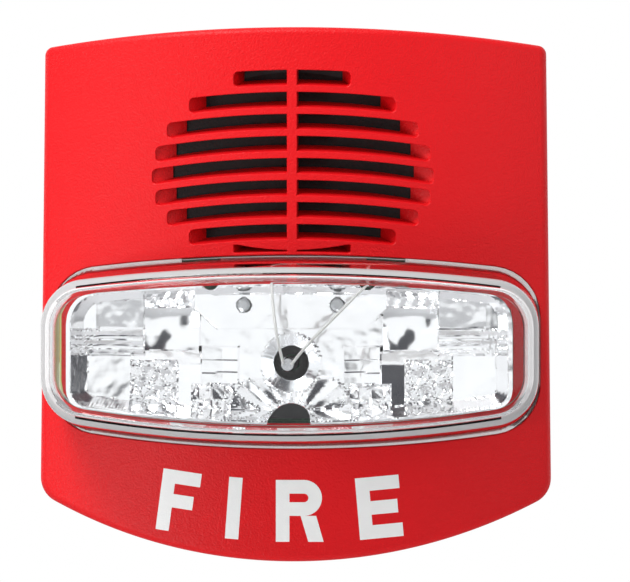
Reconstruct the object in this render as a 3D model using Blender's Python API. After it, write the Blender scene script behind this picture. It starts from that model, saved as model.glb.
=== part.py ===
"""Wall-mounted horn strobe: a red moulded cover over a piezo horn and a clear-lensed flash unit.

The device hangs on a wall, with the wall face in the plane y = 0. +X is to the right as seen
from the room, the front looks along -Y and +Z is up. "Depth" is the distance off the wall, so a
point at depth d has y = -d. The origin is in the middle of the wall face.
"""
import math
from collections import namedtuple

import bmesh
import bpy
from mathutils import Vector

MM = 0.001

# Front cover.
COVER_HEIGHT = 130 * MM
COVER_WIDTH = 127 * MM
COVER_TOP_TAPER = 2.5 * MM
FACE_DEPTH = 36 * MM
SIDE_DEPTH = 20 * MM
TOP_EDGE_RISE = 3.8 * MM
BOTTOM_EDGE_RISE = 15.6 * MM
TOP_CORNER_RADIUS = 2.2 * MM
BOTTOM_CORNER_RADIUS = 6.5 * MM
FACE_EDGE_RADIUS = 1.6 * MM
COVER_WALL = 2.2 * MM
COVER_BACK_DEPTH = 0.5 * MM

# Sound grille.
GRILLE_ROWS = 9
SLOT_PITCH = 5.355 * MM
SLOT_HEIGHT = 3.6 * MM
SLOT_ARCH_RADIUS = 230 * MM
GRILLE_HALF_WIDTH = 34.4 * MM
GRILLE_TOP_MARGIN = 10.57 * MM
GRILLE_OVAL_MARGIN = 0.3 * MM
CENTRE_BAR_WIDTH = 2.5 * MM
GRILLE_BODY_LIP = 0.9 * MM
GRILLE_BODY_BORDER = 1.5 * MM
LOUVRE_SLOPE = math.tan(math.radians(13.5))
LOWEST_RIB = 0.8 * MM

# Lens and its seal.
LENS_HEIGHT = 47.2 * MM
LENS_OVERLAP = 2.01 * MM
LENS_SIDE_MARGIN = 2.9 * MM
LENS_TOP_RISE = 4.1 * MM
LENS_BOTTOM_RISE = 4.8 * MM
LENS_CORNER_RADIUS = 12.5 * MM
LENS_PROJECTION = 32 * MM
LENS_SIDE_DRAFT = 1.0 * MM
LENS_EDGE_DRAFT = 2.8 * MM
LENS_FRONT_RADIUS = 3.0 * MM
LENS_WALL = 2.0 * MM
LENS_OPENING_CLEARANCE = 0.35 * MM
FLANGE_WIDTH = 3.5 * MM
FLANGE_THICKNESS = 1.8 * MM
FLANGE_SIDE_CLEARANCE = 0.4 * MM
GASKET_THICKNESS = 1.0 * MM
GASKET_SETBACK = 0.5 * MM
BEZEL_THICKNESS = 2 * MM
BEZEL_GAP = 0.8 * MM
LEAD_HOLE_RADIUS = 1.5 * MM
LENS_POST_RADIUS = 2.5 * MM
LENS_PIN_RADIUS = 0.9 * MM
LENS_POST_SIDE = 20 * MM
LENS_PIN_SETBACK = 1.9 * MM

# Reflector, flash tube and carrier.
REFLECTOR_SIDE_GAP = 4.5 * MM
REFLECTOR_TOP_GAP = 6.8 * MM
REFLECTOR_BOTTOM_GAP = 5.6 * MM
REFLECTOR_FRONT_GAP = 2.6 * MM
REFLECTOR_DEPTH = 18 * MM
REFLECTOR_TOP_RISE = 2.2 * MM
REFLECTOR_BOTTOM_RISE = 4.2 * MM
REFLECTOR_TOP_CORNER = 9 * MM
REFLECTOR_BOTTOM_CORNER = 5.5 * MM
REFLECTOR_WALL = 1.5 * MM
REFLECTOR_FLOOR_INSET = 11 * MM
REFLECTOR_TURN_INSET = 6 * MM
REFLECTOR_TURN_RISE = 1.5 * MM
REFLECTOR_FLARE_INSET = 2.5 * MM
REFLECTOR_FLARE_RISE = 5 * MM
REFLECTOR_NOTCH_RADIUS = 5.2 * MM
WIRE_NOTCH_RADIUS = 1.9 * MM
WIRE_NOTCH_X = 18.6 * MM
RIVET_RADIUS = 1.55 * MM
RIVET_X = 11.2 * MM
RIVET_DROP = 5.8 * MM
RIVET_FOOT = 1 * MM
RIVET_CROWN = 0.5 * MM
TUBE_RADIUS = 1.8 * MM
TUBE_DROP = 2.4 * MM
TUBE_PROTRUSION = 4 * MM
TUBE_LENGTH = 36 * MM
TUBE_END = 0.6
TUBE_CAP_LENGTH = 2 * MM
GROMMET_WALL = 1.8 * MM
GROMMET_FLANGE = 2.5 * MM
GROMMET_FLANGE_THICKNESS = 1.5 * MM
GROMMET_STAND = 1.2 * MM
CARRIER_INSET = 1 * MM
CARRIER_WALL = 1.6 * MM
WIRE_RADIUS = 0.35 * MM
LEAD_RISE = 1.5 * MM
TRIGGER_LEAD_X = 27 * MM

# Back housing, circuit board and parts on the board.
TRAY_GAP = 0.5 * MM
TRAY_WALL = 1.8 * MM
TRAY_FLOOR = 2.5 * MM
TRAY_RIM_SETBACK = 8 * MM
BOARD_GAP = 2.5 * MM
BOARD_DEPTH = 9 * MM
BOARD_THICKNESS = 1.6 * MM
BOARD_SCREW_SIDE = 13.5 * MM
BOARD_SCREW_TOP = 15 * MM
BOARD_SCREW_RAISE = 0.3 * MM
BOSS_RADIUS = 3.2 * MM
SCREW_SHANK_RADIUS = 1.3 * MM
SCREW_HEAD_RADIUS = 2.8 * MM
SCREW_HEAD_HEIGHT = 1.9 * MM
SCREW_GRIP = 4 * MM
BOX_SCREW_SPACING = 83.3 * MM
KEYHOLE_RADIUS = 4.6 * MM
KEYHOLE_SLOT_WIDTH = 4.6 * MM
KEYHOLE_LENGTH = 8 * MM
WIRE_ENTRY_WIDTH = 22 * MM
WIRE_ENTRY_HEIGHT = 12 * MM
WIRE_ENTRY_DROP = 20 * MM
TERMINAL_BLOCK_WIDTH = 40 * MM
TERMINAL_BLOCK_HEIGHT = 11 * MM
TERMINAL_BLOCK_DEPTH = 10 * MM
TERMINAL_COUNT = 4
TERMINAL_RAISE = 2.6 * MM
TERMINAL_WELL_RADIUS = 3.4 * MM
TERMINAL_WELL_DEPTH = 6 * MM
TERMINAL_WELL_RAISE = 1 * MM
TERMINAL_SCREW_CLEARANCE = 0.6 * MM
TERMINAL_SCREW_HEIGHT = 2.8 * MM
TERMINAL_SCREW_CHAMFER = 0.4 * MM
DRIVER_SLOT_WIDTH = 0.8 * MM
WIRE_PORT_WIDTH = 5 * MM
WIRE_PORT_DEPTH = 3.2 * MM
WIRE_PORT_DROP = 2 * MM
CAPACITOR_RADIUS = 8 * MM
CAPACITOR_LENGTH = 32 * MM
CAPACITOR_BEAD = 0.8 * MM
CHOKE_RADIUS = 7 * MM
CHOKE_CORE_RADIUS = 4.5 * MM
CHOKE_HEIGHT = 10 * MM
CHOKE_FLANGE = 1.5 * MM
CHOKE_GAP = 1.5 * MM
TRANSFORMER_WIDTH = 9 * MM
TRANSFORMER_SIDE = 11 * MM
TRANSFORMER_X = 11.5 * MM
INPUT_CAPACITOR_RADIUS = 4 * MM
INPUT_CAPACITOR_HEIGHT = 11.6 * MM
CHIP_SIDE = 10 * MM
CHIP_HEIGHT = 1.4 * MM
BESIDE_TERMINALS = 6 * MM
SMALL_PARTS_DROP = 4 * MM

# Horn.
HORN_TOP_GAP = 1.9 * MM
HORN_BOTTOM_GAP = 4.4 * MM
HORN_WALL = 1.6 * MM
HORN_DISC_MARGIN = 5.5 * MM
HORN_DISC_SETBACK = 6 * MM
HORN_CAP_THICKNESS = 1.6 * MM
HORN_THROAT_RADIUS = 4.5 * MM
HORN_FLOOR_HOLE_RADIUS = 3.5 * MM
HORN_DISC_LEDGE = 1.2 * MM
DISC_THICKNESS = 0.3 * MM

# Moving pieces.
LATCH_WIDTH = 12 * MM
LATCH_REACH = 4 * MM
LATCH_THICKNESS = 1.5 * MM
LATCH_BARB = 0.25 * MM
LATCH_TOP_GAP = 0.1 * MM
SELECTOR_LENGTH = 24 * MM
SELECTOR_WIDTH = 5.5 * MM
LABEL_WIDTH = 1.6 * MM
LABEL_THICKNESS = 0.3 * MM

TOUCH_GAP = 0.3 * MM
PASS_CLEARANCE = 0.3 * MM
THROUGH = 5 * MM
MIN_CORNER = 0.4 * MM
EDGE_STEPS = 8
CORNER_STEPS = 4
ROUND_STEPS = 24
KEYHOLE_STEPS = 18
SLOT_END_STEPS = 8
NOTCH_STEPS = 12
SHARP_ANGLE = math.radians(32)

Frame = namedtuple("Frame", "top bottom top_half bottom_half top_rise bottom_rise "
                            "top_corner bottom_corner")


def sag(x, half, rise):
    """How far an arc that drops by rise at x = half has dropped at x."""
    radius = (half * half + rise * rise) / (2 * rise)
    return radius - math.sqrt(radius * radius - x * x)


def face(x):
    """Depth of the cover's front, an upright cylinder that is deepest in the middle."""
    return FACE_DEPTH - sag(x, COVER_WIDTH / 2, FACE_DEPTH - SIDE_DEPTH)


def off_face(offset):
    """A depth that follows the cover's front at a fixed offset, outwards when positive."""
    return lambda x: face(x) + offset


def inset(frame, gap):
    """The same frame drawn in by gap on every side."""
    return frame._replace(
        top=frame.top - gap, bottom=frame.bottom + gap,
        top_half=frame.top_half - gap, bottom_half=frame.bottom_half - gap,
        top_corner=max(frame.top_corner - gap, MIN_CORNER),
        bottom_corner=max(frame.bottom_corner - gap, MIN_CORNER))


COVER = Frame(COVER_HEIGHT / 2, -COVER_HEIGHT / 2,
              (COVER_WIDTH - COVER_TOP_TAPER) / 2, COVER_WIDTH / 2,
              TOP_EDGE_RISE, BOTTOM_EDGE_RISE, TOP_CORNER_RADIUS, BOTTOM_CORNER_RADIUS)
TRAY = inset(COVER, COVER_WALL + TRAY_GAP)
BOARD = inset(TRAY, TRAY_WALL + BOARD_GAP)

GRILLE_HALF_HEIGHT = (GRILLE_ROWS - 1) / 2 * SLOT_PITCH + SLOT_HEIGHT / 2
GRILLE_Z = COVER.top - GRILLE_TOP_MARGIN - GRILLE_HALF_HEIGHT
GRILLE_BACK = face(GRILLE_HALF_WIDTH + GRILLE_BODY_BORDER) - COVER_WALL - GRILLE_BODY_LIP

LENS_TOP = GRILLE_Z - GRILLE_HALF_HEIGHT + LENS_OVERLAP
LENS_BOTTOM = LENS_TOP - LENS_HEIGHT
LENS_HALF = (COVER_WIDTH - COVER_TOP_TAPER / 2) / 2 - LENS_SIDE_MARGIN + COVER_TOP_TAPER / 8
LENS_BASE = Frame(LENS_TOP, LENS_BOTTOM, LENS_HALF, LENS_HALF, LENS_TOP_RISE, LENS_BOTTOM_RISE,
                  LENS_CORNER_RADIUS, LENS_CORNER_RADIUS)
LENS_FRONT = Frame(LENS_TOP - LENS_EDGE_DRAFT, LENS_BOTTOM + LENS_EDGE_DRAFT,
                   LENS_HALF - LENS_SIDE_DRAFT, LENS_HALF - LENS_SIDE_DRAFT,
                   LENS_TOP_RISE, LENS_BOTTOM_RISE,
                   LENS_CORNER_RADIUS - LENS_SIDE_DRAFT, LENS_CORNER_RADIUS - LENS_SIDE_DRAFT)
FLANGE_HALF = LENS_HALF + LENS_SIDE_MARGIN - COVER_WALL - FLANGE_SIDE_CLEARANCE
FLANGE = Frame(LENS_TOP + FLANGE_WIDTH, LENS_BOTTOM - FLANGE_WIDTH, FLANGE_HALF, FLANGE_HALF,
               LENS_TOP_RISE, LENS_BOTTOM_RISE, LENS_CORNER_RADIUS, LENS_CORNER_RADIUS)
GASKET_FRONT = -COVER_WALL - TOUCH_GAP
FLANGE_FRONT = GASKET_FRONT - GASKET_THICKNESS - TOUCH_GAP
FLANGE_BACK = FLANGE_FRONT - FLANGE_THICKNESS
FLANGE_NOTCH_HALF = 0.8 * GRILLE_HALF_WIDTH

REFLECTOR_HALF = LENS_HALF - LENS_SIDE_DRAFT - LENS_WALL - REFLECTOR_SIDE_GAP
REFLECTOR = Frame(LENS_TOP - REFLECTOR_TOP_GAP, LENS_BOTTOM + REFLECTOR_BOTTOM_GAP,
                  REFLECTOR_HALF, REFLECTOR_HALF, REFLECTOR_TOP_RISE, REFLECTOR_BOTTOM_RISE,
                  REFLECTOR_TOP_CORNER, REFLECTOR_BOTTOM_CORNER)
REFLECTOR_RIM = face(REFLECTOR_HALF) + LENS_PROJECTION - LENS_WALL - REFLECTOR_FRONT_GAP
REFLECTOR_BACK = REFLECTOR_RIM - REFLECTOR_DEPTH
CARRIER = inset(REFLECTOR, CARRIER_INSET)
CARRIER_FRONT = REFLECTOR_BACK - TOUCH_GAP
CARRIER_INNER_HALF = CARRIER.top_half - CARRIER_WALL
CARRIER_MIDDLE_Z = (CARRIER.top + CARRIER.bottom) / 2
TUBE_Z = (REFLECTOR.top + REFLECTOR.bottom) / 2 - TUBE_DROP
TUBE_FRONT = REFLECTOR_RIM + TUBE_PROTRUSION
TUBE_BACK = TUBE_FRONT - TUBE_LENGTH
GROMMET_RADIUS = TUBE_RADIUS + PASS_CLEARANCE + GROMMET_WALL

TRAY_RIM = SIDE_DEPTH - TRAY_RIM_SETBACK
BOARD_FRONT = BOARD_DEPTH + BOARD_THICKNESS
ON_BOARD = BOARD_FRONT + TOUCH_GAP
SCREEN_FRONT = GRILLE_BACK - TOUCH_GAP
SCREEN_THICKNESS = 0.4 * MM
HORN_FRONT = SCREEN_FRONT - SCREEN_THICKNESS - TOUCH_GAP
HORN_CAP_BACK = HORN_FRONT - HORN_CAP_THICKNESS
HORN_CEILING = TRAY.top - TRAY_WALL - HORN_TOP_GAP
HORN_RADIUS = (HORN_CEILING - CARRIER.top - HORN_BOTTOM_GAP) / 2
HORN_DISC_RADIUS = HORN_RADIUS - HORN_DISC_MARGIN
HORN_Z = HORN_CEILING - HORN_RADIUS
TERMINAL_Z = (CARRIER.bottom + BOARD.bottom) / 2 + TERMINAL_RAISE
LABEL_X = -(LENS_HALF - LABEL_WIDTH / 2)
LABEL_FRONT = face(LENS_HALF) + FLANGE_BACK - TOUCH_GAP
SELECTOR_FRONT = LABEL_FRONT - LABEL_THICKNESS - TOUCH_GAP
SELECTOR_Z = (LENS_TOP + LENS_BOTTOM) / 2


def edge_half(half, middle, rise, corner, foot):
    """Right half of an upper edge: an arc out from the middle, then a round corner towards foot."""
    radius = (half * half + rise * rise) / (2 * rise)
    lean = math.asin(half / radius)
    tip = Vector((half, middle - rise))
    inward = Vector((-math.cos(lean), math.sin(lean)))
    down = (Vector(foot) - tip).normalized()
    angle = inward.angle(down)
    reach = corner / math.tan(angle / 2)
    last_x = half - reach * math.cos(lean)
    arc = []
    for step in range(EDGE_STEPS + 1):
        x = last_x * step / EDGE_STEPS
        arc.append(Vector((x, middle - sag(x, half, rise))))
    start = arc[-1]
    finish = tip + down * reach
    weight = math.sin(angle / 2)
    for step in range(1, CORNER_STEPS + 1):
        t = step / CORNER_STEPS
        near, mid, far = (1 - t) ** 2, 2 * t * (1 - t) * weight, t ** 2
        arc.append((start * near + tip * mid + finish * far) / (near + mid + far))
    return arc


def loop(frame):
    """Points (x, z) round a frame: its top from left to right, then its bottom from right to left."""
    upper_tip = (frame.top_half, frame.top - frame.top_rise)
    lower_tip = (frame.bottom_half, frame.bottom + frame.bottom_rise)
    upper = edge_half(frame.top_half, frame.top, frame.top_rise, frame.top_corner, lower_tip)
    lower = edge_half(frame.bottom_half, -frame.bottom, frame.bottom_rise, frame.bottom_corner,
                      (upper_tip[0], -upper_tip[1]))
    top = [(-point.x, point.y) for point in reversed(upper[1:])]
    top += [(point.x, point.y) for point in upper]
    bottom = [(point.x, -point.y) for point in reversed(lower)]
    bottom += [(-point.x, -point.y) for point in lower[1:]]
    return top + bottom


def ring(frame, depth):
    """A frame's loop at a depth off the wall: a number, or a function of x."""
    return [(x, -(depth(x) if callable(depth) else depth), z) for x, z in loop(frame)]


def circle(radius, depth, x=0.0, z=0.0, stretch=1.0, steps=ROUND_STEPS):
    """A circle across the depth, or an oval when stretch is not 1, in the order that loop uses."""
    points = []
    for step in range(steps):
        angle = math.pi - (step + 0.5) * math.tau / steps
        px = x + radius * math.cos(angle)
        off_wall = depth(px) if callable(depth) else depth
        points.append((px, -off_wall, z + stretch * radius * math.sin(angle)))
    return points


def loft(bm, rings, capped=True):
    """Skin rings in turn. Capped ends are strips across the ring; otherwise the skin closes on itself."""
    rows = [[bm.verts.new(point) for point in points] for points in rings]
    following = rows[1:] if capped else rows[1:] + rows[:1]
    for near, far in zip(rows, following):
        for k in range(len(near)):
            n = (k + 1) % len(near)
            bm.faces.new((near[k], near[n], far[n], far[k]))
    if capped:
        for row in (rows[0], rows[-1]):
            last = len(row) - 1
            for k in range(len(row) // 2 - 1):
                bm.faces.new((row[k], row[k + 1], row[last - k - 1], row[last - k]))


def prism(bm, outline, run):
    """A flat outline of 3D points carried along a vector, closed at both ends."""
    ends = [[bm.verts.new(point) for point in outline],
            [bm.verts.new(Vector(point) + Vector(run)) for point in outline]]
    for k in range(len(outline)):
        n = (k + 1) % len(outline)
        bm.faces.new((ends[0][k], ends[0][n], ends[1][n], ends[1][k]))
    for end in ends:
        bm.faces.new(end)


def box_cutter(name, size, at):
    """A plain box-shaped cutter centred on at."""
    bm = bmesh.new()
    bmesh.ops.create_cube(bm, size=1.0)
    bmesh.ops.scale(bm, vec=size, verts=bm.verts)
    return add(name, bm, CUTTER, at)


def paint(name, colour, roughness, metallic=0.0, transmission=0.0):
    """One Principled material."""
    material = bpy.data.materials.new(name)
    material.use_nodes = True
    shader = material.node_tree.nodes["Principled BSDF"]
    shader.inputs["Base Color"].default_value = (*colour, 1.0)
    shader.inputs["Roughness"].default_value = roughness
    shader.inputs["Metallic"].default_value = metallic
    shader.inputs["Transmission Weight"].default_value = transmission
    material.diffuse_color = (*colour, 1.0)
    return material


def add(name, bm, material, at=(0, 0, 0), parent=None):
    """Make an object of a mesh drawn about its own origin, placed at a point."""
    bmesh.ops.recalc_face_normals(bm, faces=bm.faces)
    mesh = bpy.data.meshes.new(name)
    bm.to_mesh(mesh)
    bm.free()
    mesh.shade_smooth()
    mesh.set_sharp_from_angle(angle=SHARP_ANGLE)
    mesh.materials.append(material)
    obj = bpy.data.objects.new(name, mesh)
    bpy.context.collection.objects.link(obj)
    obj.location = at
    obj.parent = parent
    return obj


def boolean(target, cutter, operation="DIFFERENCE"):
    """Cut or join one solid with another, which is then only a guide."""
    modifier = target.modifiers.new(cutter.name, "BOOLEAN")
    modifier.operation = operation
    modifier.solver = "EXACT"
    modifier.object = cutter
    cutter.hide_render = True
    cutter.display_type = "WIRE"


def turned(name, material, profile, at, parent, steps=ROUND_STEPS, capped=True):
    """A round piece about an axis square to the wall, from (radius, depth) pairs counted from at."""
    bm = bmesh.new()
    loft(bm, [circle(radius, depth, steps=steps) for radius, depth in profile], capped)
    return add(name, bm, material, at, parent)


def block(name, material, size, at, parent, chamfer=0.3 * MM):
    """A chamfered box of a size, centred on at."""
    bm = bmesh.new()
    bmesh.ops.create_cube(bm, size=1.0)
    bmesh.ops.scale(bm, vec=size, verts=bm.verts)
    if chamfer:
        bmesh.ops.bevel(bm, geom=bm.edges[:], offset=chamfer, segments=1, affect="EDGES")
    return add(name, bm, material, at, parent)


def hole_cutter(name, holes, back, front, steps=ROUND_STEPS):
    """One cutter with a round bar for each hole (x, z, radius)."""
    bm = bmesh.new()
    for x, z, radius in holes:
        loft(bm, [circle(radius, back, x, z, steps=steps), circle(radius, front, x, z, steps=steps)])
    return add(name, bm, CUTTER)


def smooth_route(route, steps=5):
    """A Catmull-Rom curve through the route's points."""
    points = [Vector(point) for point in route]
    ends = [points[0] * 2 - points[1]] + points + [points[-1] * 2 - points[-2]]
    curve = []
    for a, b, c, d in zip(ends, ends[1:], ends[2:], ends[3:]):
        for step in range(steps):
            t = step / steps
            curve.append(0.5 * (2 * b + (c - a) * t + (2 * a - 5 * b + 4 * c - d) * t * t
                                + (3 * b - a - 3 * c + d) * t ** 3))
    return curve + [points[-1]]


def wire(name, material, route, parent):
    """A round lead along a route of (x, depth, z) points."""
    curve = bpy.data.curves.new(name, "CURVE")
    curve.dimensions = "3D"
    curve.bevel_depth = WIRE_RADIUS
    curve.bevel_resolution = 2
    curve.use_fill_caps = True
    points = smooth_route([(x, -depth, z) for x, depth, z in route])
    spline = curve.splines.new("POLY")
    spline.points.add(len(points) - 1)
    for item, point in zip(spline.points, points):
        item.co = (*point, 1.0)
    curve.materials.append(material)
    obj = bpy.data.objects.new(name, curve)
    bpy.context.collection.objects.link(obj)
    obj.parent = parent


def empty(name, at=(0, 0, 0), parent=None):
    obj = bpy.data.objects.new(name, None)
    bpy.context.collection.objects.link(obj)
    obj.location = at
    obj.parent = parent
    return obj


def slot_ring(low, high, reach, side, depth):
    """One end of a slot's cutter. The slot arches with the ribs and slopes down towards the front."""
    def point(z, t):
        start = CENTRE_BAR_WIDTH / 2
        x = start + (reach - start) * t
        arch = x * x / (2 * SLOT_ARCH_RADIUS)
        return (side * x, -depth, z - arch + (face(x) - depth) * LOUVRE_SLOPE)

    steps = [step / EDGE_STEPS for step in range(EDGE_STEPS + 1)]
    return [point(high, t) for t in steps] + [point(low, t) for t in reversed(steps)]


def grille_cutter():
    """All the sound slots: two to a row, one each side of the centre bar, ending on an oval."""
    bm = bmesh.new()
    lowest = LENS_TOP + LENS_OPENING_CLEARANCE + LOWEST_RIB
    for row in range(GRILLE_ROWS):
        middle = GRILLE_Z + (row - (GRILLE_ROWS - 1) / 2) * SLOT_PITCH
        low = max(middle - SLOT_HEIGHT / 2, lowest)
        high = middle + SLOT_HEIGHT / 2
        across = (middle - GRILLE_Z) / (GRILLE_HALF_HEIGHT + GRILLE_OVAL_MARGIN)
        reach = GRILLE_HALF_WIDTH * math.sqrt(1 - across * across)
        for side in (-1, 1):
            loft(bm, [slot_ring(low, high, reach, side, GRILLE_BACK - THROUGH),
                      slot_ring(low, high, reach, side, FACE_DEPTH + THROUGH)])
    return add("grille_slots", bm, CUTTER)


def grille_body():
    """The thicker oval of the cover that the louvre blades are cut from."""
    bm = bmesh.new()
    half = GRILLE_HALF_WIDTH + GRILLE_BODY_BORDER
    stretch = (GRILLE_HALF_HEIGHT + GRILLE_OVAL_MARGIN + GRILLE_BODY_BORDER) / half
    loft(bm, [circle(half, depth, z=GRILLE_Z, stretch=stretch, steps=2 * ROUND_STEPS)
              for depth in (GRILLE_BACK, off_face(-COVER_WALL / 2))])
    return add("grille_body", bm, CUTTER)


def lens_opening():
    """The cover's window for the lens."""
    bm = bmesh.new()
    window = inset(LENS_BASE, -LENS_OPENING_CLEARANCE)
    loft(bm, [ring(window, off_face(GRILLE_BACK - FACE_DEPTH - COVER_WALL)),
              ring(window, off_face(THROUGH))])
    return add("lens_window", bm, CUTTER)


def front_cover(parent):
    bm = bmesh.new()
    rings = []
    for step in range(4):
        turn = math.radians(90 - 30 * step)
        edge = inset(COVER, FACE_EDGE_RADIUS * (1 - math.cos(turn)))
        rings.append(ring(edge, off_face(-FACE_EDGE_RADIUS * (1 - math.sin(turn)))))
    rings.append(ring(COVER, COVER_BACK_DEPTH))
    inside = inset(COVER, COVER_WALL)
    rings.append(ring(inside, COVER_BACK_DEPTH))
    rings.append(ring(inside, off_face(-COVER_WALL)))
    loft(bm, rings)
    cover = add("front_cover", bm, paint("red_cover_plastic", (0.72, 0.01, 0.02), 0.45), parent=parent)
    boolean(cover, grille_body(), "UNION")
    boolean(cover, grille_cutter())
    boolean(cover, lens_opening())
    return cover


def acoustic_screen(parent):
    """Woven screen glued behind the louvres, trimmed along the lens, which keeps dust out of the horn."""
    bm = bmesh.new()
    half = GRILLE_HALF_WIDTH
    stretch = GRILLE_HALF_HEIGHT / half
    loft(bm, [circle(half, depth, z=GRILLE_Z, stretch=stretch, steps=2 * ROUND_STEPS)
              for depth in (SCREEN_FRONT - SCREEN_THICKNESS, SCREEN_FRONT)])
    cloth = paint("black_screen_cloth", (0.015, 0.015, 0.015), 0.9)
    screen = add("acoustic_screen", bm, cloth, parent=parent)
    boolean(screen, lens_opening())


def lens_pin_places():
    """Where the four pins pass through the lens flange: (x, z)."""
    x = LENS_HALF - LENS_POST_SIDE
    high = LENS_TOP - sag(x, LENS_HALF, LENS_TOP_RISE) + LENS_PIN_SETBACK
    low = LENS_BOTTOM + sag(x, LENS_HALF, LENS_BOTTOM_RISE) - LENS_PIN_SETBACK
    return [(-x, high), (x, high), (-x, low), (x, low)]


def flange_notch():
    """Clears the lens flange and its gasket from the deep part of the grille, down to the lens's top."""
    bm = bmesh.new()
    high = FLANGE.top + THROUGH
    outline = [(FLANGE_NOTCH_HALF, 0, high), (-FLANGE_NOTCH_HALF, 0, high)]
    for step in range(NOTCH_STEPS):
        x = (2 * step / (NOTCH_STEPS - 1) - 1) * FLANGE_NOTCH_HALF
        outline.append((x, 0, LENS_TOP - sag(x, LENS_HALF, LENS_TOP_RISE) + LENS_OPENING_CLEARANCE / 2))
    prism(bm, outline, (0, -2 * FACE_DEPTH, 0))
    return add("flange_notch", bm, CUTTER)


def lens(parent, notch):
    """Clear bowl with a curved front, a drafted skirt and a flange behind the cover."""
    bm = bmesh.new()
    rings = []
    front = LENS_PROJECTION
    for step in range(4):
        turn = math.radians(90 - 30 * step)
        edge = inset(LENS_FRONT, LENS_FRONT_RADIUS * (1 - math.cos(turn)))
        rings.append(ring(edge, off_face(front - LENS_FRONT_RADIUS * (1 - math.sin(turn)))))
    rings.append(ring(LENS_BASE, off_face(FLANGE_FRONT)))
    rings.append(ring(FLANGE, off_face(FLANGE_FRONT)))
    rings.append(ring(FLANGE, off_face(FLANGE_BACK)))
    rings.append(ring(inset(LENS_BASE, LENS_WALL), off_face(FLANGE_BACK)))
    inner_front = inset(LENS_FRONT, LENS_WALL)
    rings.append(ring(inner_front, off_face(front - LENS_FRONT_RADIUS)))
    rings.append(ring(inset(inner_front, LENS_FRONT_RADIUS - LENS_WALL), off_face(front - LENS_WALL)))
    loft(bm, rings)
    clear = paint("clear_polycarbonate", (0.95, 0.96, 0.97), 0.03, transmission=1.0)
    bowl = add("lens", bm, clear, parent=parent)
    boolean(bowl, notch)
    holes = [(x, z, LENS_PIN_RADIUS + PASS_CLEARANCE) for x, z in lens_pin_places()]
    boolean(bowl, hole_cutter("lens_pin_holes", holes, SIDE_DEPTH / 2, FACE_DEPTH + THROUGH, 12))


def lens_gasket(parent, notch):
    """Foam seal on the front of the flange, open above where the grille comes down to the lens."""
    bm = bmesh.new()
    inner = inset(LENS_BASE, -LENS_OPENING_CLEARANCE - GASKET_SETBACK)
    inner = inner._replace(top_half=LENS_HALF + TOUCH_GAP / 3, bottom_half=LENS_HALF + TOUCH_GAP / 3)
    outer = inset(FLANGE, TOUCH_GAP)._replace(top_half=FLANGE_HALF, bottom_half=FLANGE_HALF)
    back = off_face(GASKET_FRONT - GASKET_THICKNESS)
    front = off_face(GASKET_FRONT)
    loft(bm, [ring(inner, front), ring(outer, front), ring(outer, back), ring(inner, back)], capped=False)
    seal = add("lens_gasket", bm, paint("grey_foam", (0.55, 0.55, 0.54), 0.95), parent=parent)
    boolean(seal, notch)


def lens_bezel(parent):
    """Red trim inside the lens, level with the cover's front, that frames the reflector."""
    bm = bmesh.new()
    inner = inset(REFLECTOR, -BEZEL_GAP)
    outer = inset(LENS_BASE, LENS_WALL + LENS_EDGE_DRAFT / 4 + TOUCH_GAP)
    back = off_face(-BEZEL_THICKNESS)
    loft(bm, [ring(inner, face), ring(outer, face), ring(outer, back), ring(inner, back)], capped=False)
    frame = add("lens_bezel", bm, paint("red_bezel_plastic", (0.72, 0.01, 0.02), 0.45), parent=parent)
    over = REFLECTOR.top + LEAD_RISE
    holes = [(TRIGGER_LEAD_X, over, LEAD_HOLE_RADIUS), (WIRE_NOTCH_X, REFLECTOR.top, LEAD_HOLE_RADIUS)]
    boolean(frame, hole_cutter("bezel_lead_holes", holes, SIDE_DEPTH / 2, FACE_DEPTH + THROUGH, 20))


def lens_posts(parent):
    """Four posts on the board whose pins are staked through the lens flange."""
    material = paint("black_post_plastic", (0.02, 0.02, 0.02), 0.5)
    for number, (x, z) in enumerate(lens_pin_places(), 1):
        shoulder = min(face(abs(x) + LENS_POST_RADIUS), face(x)) + FLANGE_BACK - TOUCH_GAP - ON_BOARD
        tip = face(abs(x) + LENS_PIN_RADIUS) + FLANGE_FRONT - ON_BOARD
        turned(f"lens_post_{number}", material,
               [(LENS_POST_RADIUS, 0), (LENS_POST_RADIUS, shoulder), (LENS_PIN_RADIUS, shoulder),
                (LENS_PIN_RADIUS, tip)], (x, -ON_BOARD, z), parent, steps=16)


def reflector(parent):
    """Bright trough behind the lens, with a hole for the tube and notches for its leads."""
    bm = bmesh.new()
    wall = REFLECTOR_WALL
    outside = [(REFLECTOR_FLOOR_INSET, 0), (REFLECTOR_TURN_INSET, REFLECTOR_TURN_RISE),
               (REFLECTOR_FLARE_INSET, REFLECTOR_FLARE_RISE), (0, REFLECTOR_DEPTH)]
    inside = [(wall, REFLECTOR_DEPTH), (REFLECTOR_FLARE_INSET + wall, REFLECTOR_FLARE_RISE + wall / 3),
              (REFLECTOR_TURN_INSET + wall, REFLECTOR_TURN_RISE + wall), (REFLECTOR_FLOOR_INSET + wall, wall)]
    rings = [ring(inset(REFLECTOR, gap), REFLECTOR_BACK + rise) for gap, rise in outside + inside]
    loft(bm, rings)
    dish = add("reflector", bm, paint("bright_metallised", (0.85, 0.86, 0.87), 0.08, 1.0), parent=parent)
    openings = [(0, TUBE_Z, GROMMET_RADIUS + PASS_CLEARANCE),
                (0, REFLECTOR.bottom, REFLECTOR_NOTCH_RADIUS)]
    openings += [(side * WIRE_NOTCH_X, REFLECTOR.top, WIRE_NOTCH_RADIUS) for side in (-1, 1)]
    openings += rivet_holes()
    boolean(dish, hole_cutter("reflector_openings", openings, REFLECTOR_BACK - REFLECTOR_WALL,
                              REFLECTOR_RIM + THROUGH, 20))


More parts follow.
